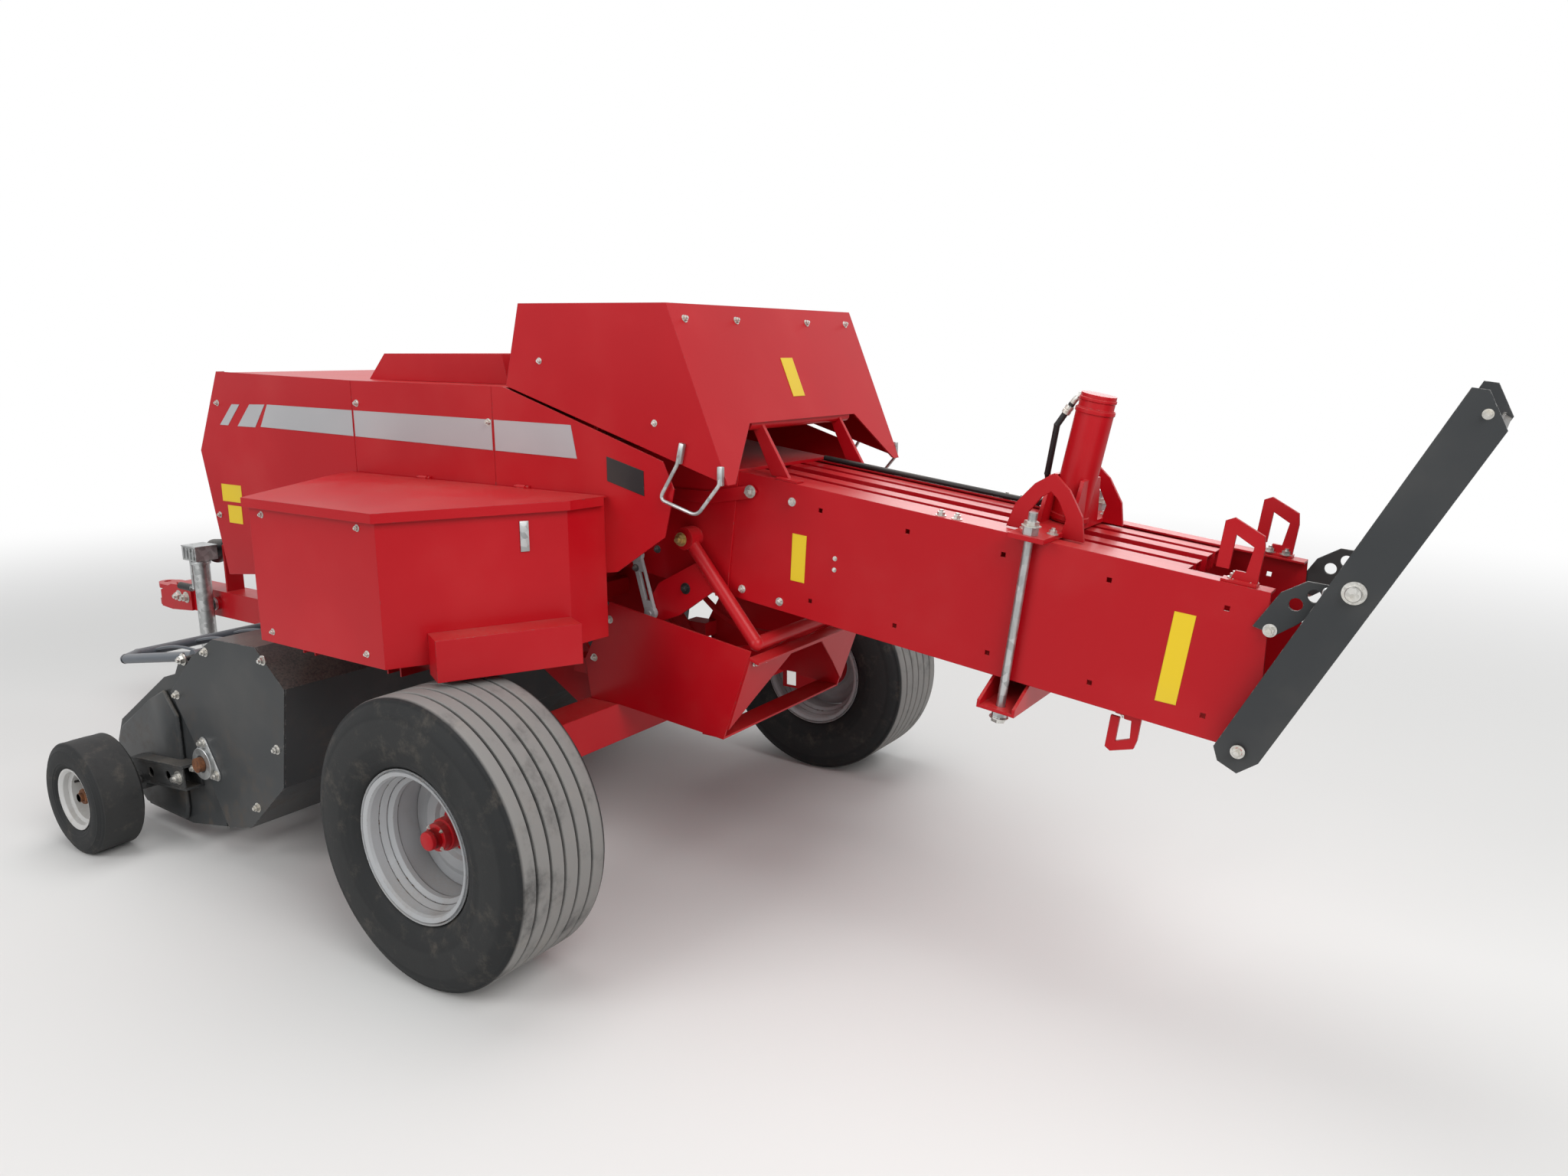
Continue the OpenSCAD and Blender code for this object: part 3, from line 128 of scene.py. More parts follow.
# %% Lamps
def lamp(name, place, aim, size, power):
    """A soft square lamp that points at a place."""
    data = bpy.data.lights.new(name, "AREA")
    data.size, data.energy = size, power
    made = add(name, data)
    made.location = place
    made.rotation_euler = (aim - place).to_track_quat("-Z", "Y").to_euler()


middle = at(0.4, 0, 0.8)
lamp("sky_behind", at(-5.5, 2.5, 5.5), middle, 4.5, 330)
lamp("sky_left", at(2.5, 7.5, 4.5), middle, 4.5, 235)
lamp("sky_above", at(0.8, -1.0, 7.5), middle, 5.0, 215)
lamp("sky_right", at(1.0, -7.5, 4.0), middle, 4.0, 110)
print("four lamps")

# %% World
world = bpy.data.worlds.new("white_room")
bpy.context.scene.world = world
world.use_nodes = True
sky = world.node_tree
sky.nodes.clear()
ray = node(sky, "ShaderNodeLightPath")
seen = ray.outputs["Is Camera Ray"]
for kind in ("Is Glossy Ray", "Is Transmission Ray"):
    seen = maths(sky, "MAXIMUM", seen, ray.outputs[kind])
dim = node(sky, "ShaderNodeBackground", Color=(0.95, 0.97, 1, 1), Strength=0.36)
full = node(sky, "ShaderNodeBackground", Color=(1, 1, 1, 1), Strength=1.0)
both = node(sky, "ShaderNodeMixShader", i0=seen, i1=dim.outputs[0], i2=full.outputs[0])
node(sky, "ShaderNodeOutputWorld", Surface=both.outputs[0])
print("a white world that lights the machine dimly")

# %% Floor
FLOOR_HALF, FLOOR_Z = 40, -0.001
FADE_FROM, FADE_TO = 3.2, 9.0  # Distance from the middle over which the floor turns white
ground = bpy.data.meshes.new("ground")
corners = [(x * FLOOR_HALF, y * FLOOR_HALF, FLOOR_Z) for x, y in ((-1, -1), (1, -1), (1, 1), (-1, 1))]
ground.from_pydata(corners, [], [(0, 1, 2, 3)])
floor = add("floor", ground)
plain = bpy.data.materials.new("pale_floor")
plain.use_nodes = True
lay = plain.node_tree
lay.nodes.clear()
near = node(lay, "ShaderNodeBsdfPrincipled", Base_Color=(0.74, 0.735, 0.72, 1), Roughness=0.9)
far = node(lay, "ShaderNodeEmission", Color=(1, 1, 1, 1), Strength=1.0)
place = node(lay, "ShaderNodeTexCoord").outputs["Object"]
away = node(lay, "ShaderNodeVectorMath", {"operation": "LENGTH"}, i0=place).outputs["Value"]
mist = node(lay, "ShaderNodeMapRange", {"interpolation_type": "SMOOTHSTEP"},
            i0=away, i1=FADE_FROM, i2=FADE_TO)
to_eye = node(lay, "ShaderNodeLightPath").outputs["Is Camera Ray"]
only = maths(lay, "MULTIPLY", mist.outputs[0], to_eye)
blur = node(lay, "ShaderNodeMixShader", i0=only, i1=near.outputs[0], i2=far.outputs[0])
node(lay, "ShaderNodeOutputMaterial", Surface=blur.outputs[0])
ground.materials.append(plain)
print("a floor of", 2 * FLOOR_HALF, "m that fades into the world")

# %% [markdown]
# ## Finishes
# Almost everything is painted steel. New farm paint is glossy with a fine orange peel, a little dust lies
# on faces that look up, splashes rise from the ground, and the paint is thin or chipped along edges.
# One helper builds all of that from noise, so that red and charcoal differ only in a few numbers.
# The Bevel node rounds sheared edges in the shading alone, and tells the worn edges from the flat faces.

# %% Helpers for materials
def material(name):
    """An empty material with its tree, its shader and the object's own coordinates."""
    made = bpy.data.materials.new(name)
    made.use_nodes = True
    tree = made.node_tree
    tree.nodes.clear()
    shader = node(tree, "ShaderNodeBsdfPrincipled")
    node(tree, "ShaderNodeOutputMaterial", Surface=shader.outputs[0])
    return made, tree, shader, node(tree, "ShaderNodeTexCoord").outputs["Object"]


def noise(tree, where, scale, detail=4.0, rough=0.55):
    """Cloudy noise over a place."""
    made = node(tree, "ShaderNodeTexNoise", Vector=where, Scale=scale, Detail=detail, Roughness=rough)
    return made.outputs["Fac"]


def fade(tree, value, start, end, low_out=0.0, high_out=1.0):
    """A smooth step of a value from start to end."""
    made = node(tree, "ShaderNodeMapRange", {"interpolation_type": "SMOOTHSTEP"},
                i0=value, i1=start, i2=end, i3=low_out, i4=high_out)
    return made.outputs[0]


def times(tree, a, b, how="MULTIPLY"):
    """Two values multiplied, or added, and held between 0 and 1."""
    return node(tree, "ShaderNodeMath", {"operation": how, "use_clamp": True}, i0=a, i1=b).outputs[0]


def blend(tree, amount, a, b):
    """A mix of two colours."""
    return node(tree, "ShaderNodeMix", {"data_type": "RGBA"}, i0=amount, i6=a, i7=b).outputs[2]


def level(tree, amount, a, b):
    """A mix of two numbers."""
    return node(tree, "ShaderNodeMix", {"data_type": "FLOAT"}, i0=amount, i2=a, i3=b).outputs[0]


def facing_up(tree):
    """How far a face looks up."""
    normal = node(tree, "ShaderNodeNewGeometry").outputs["Normal"]
    return fade(tree, node(tree, "ShaderNodeSeparateXYZ", Vector=normal).outputs["Z"], 0.3, 0.95)


def height(tree, where):
    return node(tree, "ShaderNodeSeparateXYZ", Vector=where).outputs["Z"]


print("helpers for materials ready")

# %% A painted finish
DUST = (0.36, 0.30, 0.235, 1)
EARTH = (0.20, 0.135, 0.085, 1)


def paint(name, colour, faded, bare, gloss, coat, dusty, chipped):
    """Sprayed steel: faded in patches, dusty on top, splashed below and chipped along its edges."""
    made, tree, shader, where = material(name)
    colour, faded, bare = ((*c, 1) for c in (colour, faded, bare))
    cloud = noise(tree, where, 1.7, 3)
    tone = blend(tree, fade(tree, cloud, 0.35, 0.7), colour, faded)
    drift = fade(tree, noise(tree, where, 2.6, 9, 0.66), 0.28, 0.80)
    grain = fade(tree, noise(tree, where, 150, 4, 0.6), 0.25, 0.62)
    dust = times(tree, times(tree, facing_up(tree), times(tree, drift, grain)), dusty * 0.75)
    low_down = fade(tree, height(tree, where), 0.75, 0.12)
    splash = times(tree, low_down, fade(tree, noise(tree, where, 9, 7, 0.7), 0.48, 0.75))
    haze = times(tree, fade(tree, noise(tree, where, 3.4, 5), 0.45, 0.8), dusty * 0.12)
    soft = node(tree, "ShaderNodeBevel", {"samples": 4}, Radius=0.0025)
    hard = node(tree, "ShaderNodeNewGeometry").outputs["Normal"]
    same = node(tree, "ShaderNodeVectorMath", {"operation": "DOT_PRODUCT"}, i0=soft.outputs[0], i1=hard)
    flakes = fade(tree, noise(tree, where, 60, 5, 0.7), 0.62 - chipped * 0.2, 0.70 - chipped * 0.2)
    edge = times(tree, fade(tree, same.outputs["Value"], 0.985, 0.90), flakes)
    drawn = node(tree, "ShaderNodeMapping", Vector=where, Rotation=(0.3, 0.9, 0.2), Scale=(4, 60, 90))
    fine = fade(tree, noise(tree, drawn.outputs[0], 3, 3, 0.5), 0.68, 0.74, 0, 0.25)
    tone = blend(tree, fine, tone, faded)
    tone = blend(tree, haze, tone, DUST)
    tone = blend(tree, dust, tone, DUST)
    tone = blend(tree, times(tree, splash, 0.30), tone, EARTH)
    tone = blend(tree, edge, tone, bare)
    sheen = level(tree, cloud, gloss - 0.05, gloss + 0.10)
    matt = level(tree, times(tree, dust, splash, "ADD"), sheen, 0.75)
    peel = node(tree, "ShaderNodeBump", Strength=0.10, Distance=0.0006,
                Height=noise(tree, where, 420, 2), Normal=soft.outputs[0])
    plug(tree, shader, Base_Color=tone, Roughness=matt, Normal=peel.outputs[0],
         Metallic=times(tree, edge, 0.6), Specular_IOR_Level=0.22, Coat_Weight=coat, Coat_Roughness=0.12)
    return made


print("paint ready")


# %% Paints
# Each has its colour, faded colour and bare metal, then gloss, coat, dustiness and chipping
PAINTS = {
    "red": ((0.43, 0.0030, 0.0085), (0.48, 0.0050, 0.0115), (0.13, 0.10, 0.09), 0.32, 0.06, 0.30, 0.30),
    "charcoal": ((0.036, 0.039, 0.041), (0.050, 0.053, 0.055), (0.25, 0.24, 0.23), 0.42, 0.08, 0.55, 0.55),
    "silver": ((0.36, 0.37, 0.38), (0.43, 0.44, 0.45), (0.16, 0.11, 0.08), 0.36, 0.10, 0.50, 0.35),
    "white": ((0.56, 0.56, 0.55), (0.50, 0.49, 0.47), (0.20, 0.11, 0.07), 0.34, 0.15, 0.60, 0.45),
    "slate": ((0.105, 0.120, 0.140), (0.140, 0.155, 0.175), (0.24, 0.23, 0.22), 0.36, 0.10, 0.40, 0.60),
    "black": ((0.016, 0.016, 0.017), (0.026, 0.026, 0.027), (0.12, 0.11, 0.10), 0.38, 0.10, 0.45, 0.45),
}
red, charcoal, silver, white, slate, black = (
    paint(f"{name}_paint", *values) for name, values in PAINTS.items())
print("paints:", *PAINTS)

# %% [markdown]
# ## Bare metal and rubber
# Zinc plating has crystals that catch the light one by one, which Voronoi cells give. Rusty shaft ends
# are two browns over dark iron. Rubber is nearly black, greyer where it rubs the road: the tyre's mesh
# stores that as a number at each point, and the material reads it.

# %% Zinc, rust, iron and rubber
def plated(name, dark, light, cell, tint):
    """Zinc over steel, with crystals of a given size and some white bloom."""
    made, tree, shader, where = material(name)
    crystal = node(tree, "ShaderNodeTexVoronoi", Vector=where, Scale=cell).outputs["Color"]
    shade = node(tree, "ShaderNodeSeparateColor", Color=crystal).outputs[0]
    stain = fade(tree, noise(tree, where, 18, 6, 0.65), 0.45, 0.75)
    tone = blend(tree, shade, dark, light)
    tone = blend(tree, times(tree, stain, 0.5), tone, tint)
    bump = node(tree, "ShaderNodeBump", Strength=0.25, Distance=0.0004, Height=noise(tree, where, 260, 4))
    plug(tree, shader, Base_Color=tone, Roughness=level(tree, stain, 0.34, 0.62), Normal=bump.outputs[0],
         Metallic=0.85)
    return made


def rusty(name, deep, bright, metal):
    """Iron that has stood in the rain."""
    made, tree, shader, where = material(name)
    crust = noise(tree, where, 46, 8, 0.7)
    patch = noise(tree, where, 9, 4)
    tone = blend(tree, fade(tree, crust, 0.35, 0.65), deep, bright)
    tone = blend(tree, fade(tree, patch, 0.55, 0.75), tone, metal)
    bump = node(tree, "ShaderNodeBump", Strength=0.5, Distance=0.001, Height=crust)
    rough = fade(tree, patch, 0.4, 0.8, 0.85, 0.5)
    plug(tree, shader, Base_Color=tone, Roughness=rough, Normal=bump.outputs[0], Metallic=0.3)
    return made


def rubber_finish(name, fresh, scuffed):
    """Rubber that is greyer where the mesh says that it rubs, with a little dust."""
    made, tree, shader, where = material(name)
    rub = node(tree, "ShaderNodeAttribute", {"attribute_name": "scuff"}).outputs["Fac"]
    cloud = noise(tree, where, 6, 6, 0.65)
    grain = noise(tree, where, 150, 5)
    worn = times(tree, rub, fade(tree, cloud, 0.20, 0.52))
    tone = blend(tree, worn, fresh, scuffed)
    film = times(tree, fade(tree, noise(tree, where, 14, 7, 0.7), 0.5, 0.8), 0.16)
    tone = blend(tree, film, tone, DUST)
    bump = node(tree, "ShaderNodeBump", Strength=0.35, Distance=0.0012, Height=grain)
    plug(tree, shader, Base_Color=tone, Roughness=level(tree, cloud, 0.55, 0.85), Normal=bump.outputs[0],
         Specular_IOR_Level=0.28)
    return made


galvanised = plated("galvanised", (0.33, 0.34, 0.34, 1), (0.56, 0.57, 0.57, 1), 55, (0.42, 0.42, 0.40, 1))
bolt_zinc = plated("bolt_zinc", (0.50, 0.49, 0.46, 1), (0.72, 0.71, 0.68, 1), 160, (0.45, 0.40, 0.30, 1))
yellow_zinc = plated("yellow_zinc", (0.50, 0.38, 0.14, 1), (0.66, 0.54, 0.26, 1), 160, (0.36, 0.26, 0.12, 1))
rust = rusty("rusty_iron", (0.085, 0.036, 0.018, 1), (0.22, 0.085, 0.035, 1), (0.16, 0.13, 0.12, 1))
iron = rusty("dark_iron", (0.020, 0.018, 0.017, 1), (0.045, 0.036, 0.030, 1), (0.075, 0.065, 0.058, 1))
rubber = rubber_finish("tyre_rubber", (0.0110, 0.0120, 0.0128, 1), (0.235, 0.230, 0.220, 1))
print("metals and rubber ready")

# %% [markdown]
# ## Films and plates
# The stripes, reflectors and plates are thin films with a clean face. They still pick up haze and a few
# scuffs, so they get the paint helper with their own colours, and stay blank.

# %% Films
FILMS = {
    "stripe_film": ((0.42, 0.42, 0.43), (0.48, 0.48, 0.49), (0.45, 0.10, 0.10), 0.34, 0.2, 0.35, 0.10),
    "yellow_film": ((0.80, 0.56, 0.015), (0.74, 0.53, 0.03), (0.50, 0.40, 0.20), 0.36, 0.25, 0.35, 0.10),
    "white_film": ((0.74, 0.74, 0.72), (0.66, 0.66, 0.64), (0.40, 0.38, 0.36), 0.40, 0.2, 0.40, 0.10),
}
stripe_silver, film_yellow, plate_white = (paint(name, *values) for name, values in FILMS.items())
print("films:", *FILMS)

# %% [markdown]
# ## Give every solid its finish
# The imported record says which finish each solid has. A few solids carry two metals, such as the reel with
# its rusty shaft, charcoal bars and zinc tines. Its material looks at the distance from the shaft's middle.

# %% Finish by name
REEL_X, REEL_Z = 1.592, 0.298
SHAFT_ENDS, BARS_END = (0.021, 0.024), (0.134, 0.138)  # Distances from the axis where the finish changes


def reel_finish():
    """Rust at the shaft, charcoal at the bars and zinc on the tines, by the distance from the axis."""
    made, tree, shader, where = material("reel_steel")
    local = node(tree, "ShaderNodeVectorMath", {"operation": "SUBTRACT"}, i0=where, i1=at(REEL_X, 0, REEL_Z))
    flat = node(tree, "ShaderNodeVectorMath", {"operation": "MULTIPLY"}, i0=local.outputs[0], i1=(1, 0, 1))
    away = node(tree, "ShaderNodeVectorMath", {"operation": "LENGTH"}, i0=flat.outputs[0]).outputs["Value"]
    crust = noise(tree, where, 40, 6, 0.7)
    dark = blend(tree, fade(tree, crust, 0.5, 0.8), (0.05, 0.054, 0.056, 1), (0.11, 0.09, 0.075, 1))
    old = blend(tree, crust, (0.09, 0.04, 0.02, 1), (0.22, 0.09, 0.04, 1))
    bright = blend(tree, crust, (0.34, 0.33, 0.31, 1), (0.58, 0.57, 0.55, 1))
    tone = blend(tree, fade(tree, away, *SHAFT_ENDS), old, dark)
    tone = blend(tree, fade(tree, away, *BARS_END), tone, bright)
    bump = node(tree, "ShaderNodeBump", Strength=0.3, Distance=0.0008, Height=crust)
    plug(tree, shader, Base_Color=tone, Roughness=level(tree, crust, 0.4, 0.7), Normal=bump.outputs[0],
         Metallic=fade(tree, away, *BARS_END, 0.1, 0.8))
    return made


by_slot = {"red": red, "charcoal": charcoal, "silver": silver, "zinc": galvanised, "tyre": rubber,
           "iron": iron, "black": black}
by_node = {"tine_reel": reel_finish(), "crop_guard": slate, "yoke_link": silver, "auger_shaft": rust}
for name, solid in frame["nodes"].items():
    solid.data.materials.clear()
    solid.data.materials.append(by_node.get(name, by_slot[finish_of[name]]))
print("finishes on", len(frame["nodes"]), "solids")

# %% [markdown]
# ## Building blocks
# Four shapes make every added piece: a prism with its edges broken, a turned ring, a bent bar, and a
# fastener. Each writes straight into one mesh, in the machine's own measures, so nothing is moved later.

# %% Prisms and holed plates
def prism(bm, ring, depth, bevel=0.0):
    """A plate: the ring of places, drawn out by a vector, its edges broken by bevel."""
    lower = [bm.verts.new(p) for p in ring]
    upper = [bm.verts.new(Vector(p) + depth) for p in ring]
    n = len(ring)
    faces = [bm.faces.new(lower[::-1]), bm.faces.new(upper)]
    faces += [bm.faces.new((lower[i], lower[(i + 1) % n], upper[(i + 1) % n], upper[i])) for i in range(n)]
    if bevel:
        edges = list({e for f in faces for e in f.edges})
        bmesh.ops.bevel(bm, geom=edges, offset=bevel, segments=2, profile=0.5, affect="EDGES",
                        clamp_overlap=True)


def holed(bm, outline, holes, depth):
    """A plate with round or shaped holes, drawn out by a vector."""
    edges = []
    for ring in [outline] + holes:
        verts = [bm.verts.new(p) for p in ring]
        edges += [bm.edges.new((verts[i], verts[(i + 1) % len(verts)])) for i in range(len(verts))]
    filled = bmesh.ops.triangle_fill(bm, use_beauty=True, use_dissolve=False, edges=edges)["geom"]
    faces = [g for g in filled if isinstance(g, bmesh.types.BMFace)]
    grown = bmesh.ops.extrude_face_region(bm, geom=faces)["geom"]
    bmesh.ops.translate(bm, verts=[g for g in grown if isinstance(g, bmesh.types.BMVert)], vec=depth)


def block(bm, corner, size, bevel=0.0015):
    """An upright box from its lowest corner, in metres from the axle."""
    x, y, z = corner
    a, b, c = size
    prism(bm, [at(x, y, z), at(x + a, y, z), at(x + a, y + b, z), at(x, y + b, z)], Vector((0, 0, c)), bevel)


print("prisms ready")


# %% Turned rings
def frame_of(axis):
    """Two directions square to an axis."""
    axis = Vector(axis).normalized()
    side = axis.cross(Vector((0, 0, 1)) if abs(axis.z) < 0.9 else Vector((1, 0, 0))).normalized()
    return axis, side, axis.cross(side)


def lathe(bm, profile, centre, axis, steps=64, closed=True, scuff=None):
    """Turns (radius, distance along the axis) round an axis. scuff gives each ring a rubbing value."""
    axis, u, v = frame_of(axis)
    layer = bm.verts.layers.float.get("scuff") or bm.verts.layers.float.new("scuff")
    rings = []
    for i, (r, h) in enumerate(profile):
        angles = [0] if r < 1e-6 else [2 * math.pi * k / steps for k in range(steps)]
        ring = [bm.verts.new(centre + axis * h + (u * math.cos(a) + v * math.sin(a)) * r) for a in angles]
        for vert in ring:
            vert[layer] = scuff(r, h) if scuff else 0.0
        rings.append(ring)
    for a, b in zip(rings, rings[1:] + rings[:1] if closed else rings[1:]):
        for k in range(steps):
            n = (k + 1) % steps
            if len(a) > 1 and len(b) > 1:
                bm.faces.new((a[k], a[n], b[n], b[k]))
            elif len(b) > 1:
                bm.faces.new((a[0], b[n], b[k]))
            elif len(a) > 1:
                bm.faces.new((a[k], a[n], b[0]))


def spoke(degrees, radius):
    """A step of a length at an angle above the forward direction."""
    turned = math.radians(degrees)
    return Vector((radius * math.cos(turned), 0, radius * math.sin(turned)))


def flipped(profile):
    """A turned profile mirrored to the wheel's other side, and run back the other way."""
    return [(r, -h) for r, h in profile[::-1]]


print("turned rings ready")


# %% Bars along a path
def rounded(points, radius, steps=5):
    """The same path with its corners rounded off."""
    out = [Vector(points[0])]
    for a, b, c in zip(points, points[1:], points[2:]):
        a, b, c = Vector(a), Vector(b), Vector(c)
        r = min(radius, (a - b).length * 0.45, (c - b).length * 0.45)
        p, q = b + (a - b).normalized() * r, b + (c - b).normalized() * r
        for t in (k / steps for k in range(steps + 1)):
            out.append((1 - t) ** 2 * p + 2 * t * (1 - t) * b + t * t * q)
    return out + [Vector(points[-1])]


def bar(bm, path, radius, sides=12):
    """A closed round bar along a path."""
    path = [Vector(p) for p in path]
    _, u, v = frame_of(path[1] - path[0])
    angles = [2 * math.pi * k / sides for k in range(sides)]
    rings = []
    for i, p in enumerate(path):
        along = (path[min(i + 1, len(path) - 1)] - path[max(i - 1, 0)]).normalized()
        u = (u - along * u.dot(along)).normalized()
        v = along.cross(u)
        rings.append([bm.verts.new(p + (u * math.cos(a) + v * math.sin(a)) * radius) for a in angles])
    for a, b in zip(rings, rings[1:]):
        for k in range(sides):
            bm.faces.new((a[k], a[(k + 1) % sides], b[(k + 1) % sides], b[k]))
    bm.faces.new(rings[0][::-1])
    bm.faces.new(rings[-1])


print("bars ready")


# %% A piece on its body
def piece(name, body, finish, build, sharp=32, stands_for=()):
    """Builds a mesh with build(bm), turns its faces outwards and lets it ride on a body."""
    bm = bmesh.new()
    build(bm)
    bmesh.ops.recalc_face_normals(bm, faces=bm.faces)
    mesh = bpy.data.meshes.new(name)
    bm.to_mesh(mesh)
    bm.free()
    mesh.shade_smooth()
    mesh.set_sharp_from_angle(angle=math.radians(sharp))
    mesh.materials.append(finish)
    made = add(name, mesh)
    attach(made, body)
    if stands_for:
        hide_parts(*stands_for)


print("pieces can be built")

# %% [markdown]
# ## Tyres
# The main tyres are wide implement tyres with six plain ribs, so one section turned round the axle gives
# them all. The ribs get tapered grooves, the shoulders two steps, the walls a bulge with fine rings.
# Each ring also stores how much it rubs, which the rubber finish reads as a grey scuff.

# %% Outline of a tyre
TYRE_R, TYRE_HALF, WHEEL_Y = 0.393, 0.1715, 0.948
SEAT_R, LIP_H, RIBS = 0.190, 0.017, 6
GROOVE = ((0.0060, 0.0), (0.0042, 0.002), (0.0024, 0.0115))  # Half width at each depth
SHOULDER = ((0.0005, 0.77), (0.003, 0.815), (0.0065, 0.845), (0.0105, 0.856))  # Depth, share of half width
WALL_RINGS = (40, -32, -50)  # Places of the fine rings on the wall's bulge, in degrees


def tyre_half(ribs, r, half, seat, lip):
    """Outline of half a tyre from its middle plane to the bead, as (radius, distance)."""
    out = []
    if ribs:
        pitch = half * 1.64 / ribs
        edges = [-half * 0.82 + k * pitch for k in range(1, ribs)]
        for e in [e for e in edges if e >= -1e-6]:
            out += [(r - GROOVE[-1][1], 0.0)] if abs(e) < 1e-6 else [(r - d, e - w) for w, d in GROOVE]
            out += [(r - d, e + w) for w, d in GROOVE[::-1]]
    else:
        out += [(r, 0.0), (r, half * 0.30), (r - 0.001, half * 0.5)]
    out += [(r - depth, half * share) for depth, share in SHOULDER]
    base, wall = seat + lip + 0.006, r - 0.012 - (seat + lip + 0.006)
    for a in range(70, -76, -6):
        s, c = math.sin(math.radians(a)), math.cos(math.radians(a))
        y = half - wall * 0.2 * (1 - c)
        ring = 0.0012 if a in WALL_RINGS else 0.0
        out.append((base + wall * (0.5 + 0.5 * s / math.sin(math.radians(75))), y + ring - 0.0012))
    out += [(seat + lip + 0.0025, half * 0.815), (seat + 0.0006, half * 0.78), (seat + 0.0006, half * 0.62)]
    return out


def tyre(ribs, r, half, seat, lip):
    """Outline of a whole tyre."""
    part = tyre_half(ribs, r, half, seat, lip)
    return part + flipped([point for point in part if point[1] > 1e-9])


print("tyre outlines ready")


# %% Main tyres
def rubbed(r, h):
    """Rib tops rub the most, the bulge of the wall a little, grooves not at all."""
    if r > TYRE_R - 0.003:
        return 1.0
    return 0.05 if 0.27 < r < 0.34 else (0.0 if r > 0.38 else 0.02)


WHEELS = (("left", 1), ("right", -1))
profile = tyre(RIBS, TYRE_R, TYRE_HALF, SEAT_R, LIP_H)
for side_name, side in WHEELS:
    hub = at(0, side * WHEEL_Y, TYRE_R)
    piece(f"tyre_{side_name}", f"wheel_{side_name}", rubber,
          lambda bm: lathe(bm, profile, hub, (0, side, 0), 112, scuff=rubbed), 28,
          (f"main_tyre_{side_name}",))
print("main tyre section of", len(profile), "points")

# %% [markdown]
# ## Rims and hubs
# A pressed rim is one sheet of steel: a rolled lip, a bead seat, a well and a dished disc. Turning its
# section with both skins gives the real thickness. The red hub nose stands far out of the dish.

# %% Main rims and hubs
RIM = [(0.207, 0.149), (0.2085, 0.146), (0.2075, 0.142), (0.199, 0.1405), (0.1915, 0.137), (0.190, 0.130),
       (0.190, 0.100), (0.186, 0.092), (0.1665, 0.080), (0.166, 0.070)]
RIM_IN = [(0.160, 0.068), (0.1605, 0.083), (0.1805, 0.096), (0.184, 0.104), (0.184, 0.136), (0.188, 0.1435),
          (0.200, 0.148)]
DISC = [(0.0665, -0.018), (0.085, -0.0185), (0.094, -0.010), (0.118, -0.006), (0.134, -0.013),
        (0.163, -0.010), (0.1635, 0.002), (0.136, -0.001), (0.120, 0.005), (0.092, 0.002),
        (0.084, -0.0085), (0.0665, -0.008)]
HUB = [(0.0, 0.106), (0.020, 0.1058), (0.025, 0.103), (0.026, 0.099), (0.026, 0.075), (0.0365, 0.0745),
       (0.038, 0.072), (0.038, 0.053), (0.0425, 0.0525), (0.044, 0.050), (0.044, -0.008), (0.0665, -0.008),
       (0.0665, -0.018), (0.084, -0.0185), (0.084, -0.023), (0.050, -0.024), (0.050, -0.102), (0.047, -0.104),
       (0.0262, -0.104), (0.0262, 0.092), (0.0, 0.0925)]


def build_rim(bm, hub, side):
    """The rim's sheet with both skins, and the disc in it."""
    ring = RIM + flipped(RIM) + flipped(RIM_IN[::-1]) + RIM_IN[::-1]
    lathe(bm, ring, hub, (0, side, 0), 96)
    lathe(bm, DISC, hub, (0, side, 0), 96)


for side_name, side in WHEELS:
    hub, body = at(0, side * WHEEL_Y, TYRE_R), f"wheel_{side_name}"
    piece(f"rim_{side_name}", body, silver,
          lambda bm: build_rim(bm, hub, side), 25, (f"main_rim_{side_name}",))
    piece(f"hub_{side_name}", body, red,
          lambda bm: lathe(bm, HUB, hub, (0, side, 0), 64, closed=False), 30)
print("rims and hubs turned")

# %% Gauge wheels
GAUGE_R, GAUGE_HALF, GAUGE_SEAT, GAUGE_LIP = 0.190, 0.0775, 0.095, 0.009
GAUGE_X, GAUGE_Y = 1.590, 1.140
OUTER = [(0.104, 0.067), (0.1045, 0.0645), (0.102, 0.063), (0.097, 0.061), (0.095, 0.057), (0.095, 0.043),
         (0.092, 0.039), (0.081, 0.034)]
INNER = [(0.078, 0.037), (0.090, 0.043), (0.090, 0.058), (0.099, 0.066)]
GAUGE_DISC = [(0.078, -0.006), (0.058, -0.005), (0.050, -0.002), (0.030, -0.003), (0.0265, -0.006),
              (0.0265, 0.006), (0.030, 0.003), (0.050, 0.004), (0.058, 0.001), (0.078, 0.004)]
GAUGE_RIM = OUTER + [(0.081, 0.0)] + flipped(OUTER) + flipped(INNER) + GAUGE_DISC + INNER
GAUGE_HUB = [(0.0, 0.052), (0.0135, 0.052), (0.015, 0.050), (0.015, 0.0405), (0.024, 0.040), (0.026, 0.037),
             (0.0262, -0.0345), (0.0145, -0.0345), (0.0145, 0.034), (0.0, 0.0345)]


def valve(bm, hub, side):
    """A bent rubber valve that stands out of the disc."""
    foot = hub + Vector((0.052, side * 0.004, 0.034))
    steps = [(0, 0, 0), (0.004, side * 0.012, 0.003), (0.006, side * 0.030, 0.004)]
    bar(bm, [foot + Vector(step) for step in steps], 0.0042, 10)


def gauge_rub(r, h):
    """The small tyre only rubs on its tread."""
    return 0.10 if r > 0.187 else 0.02


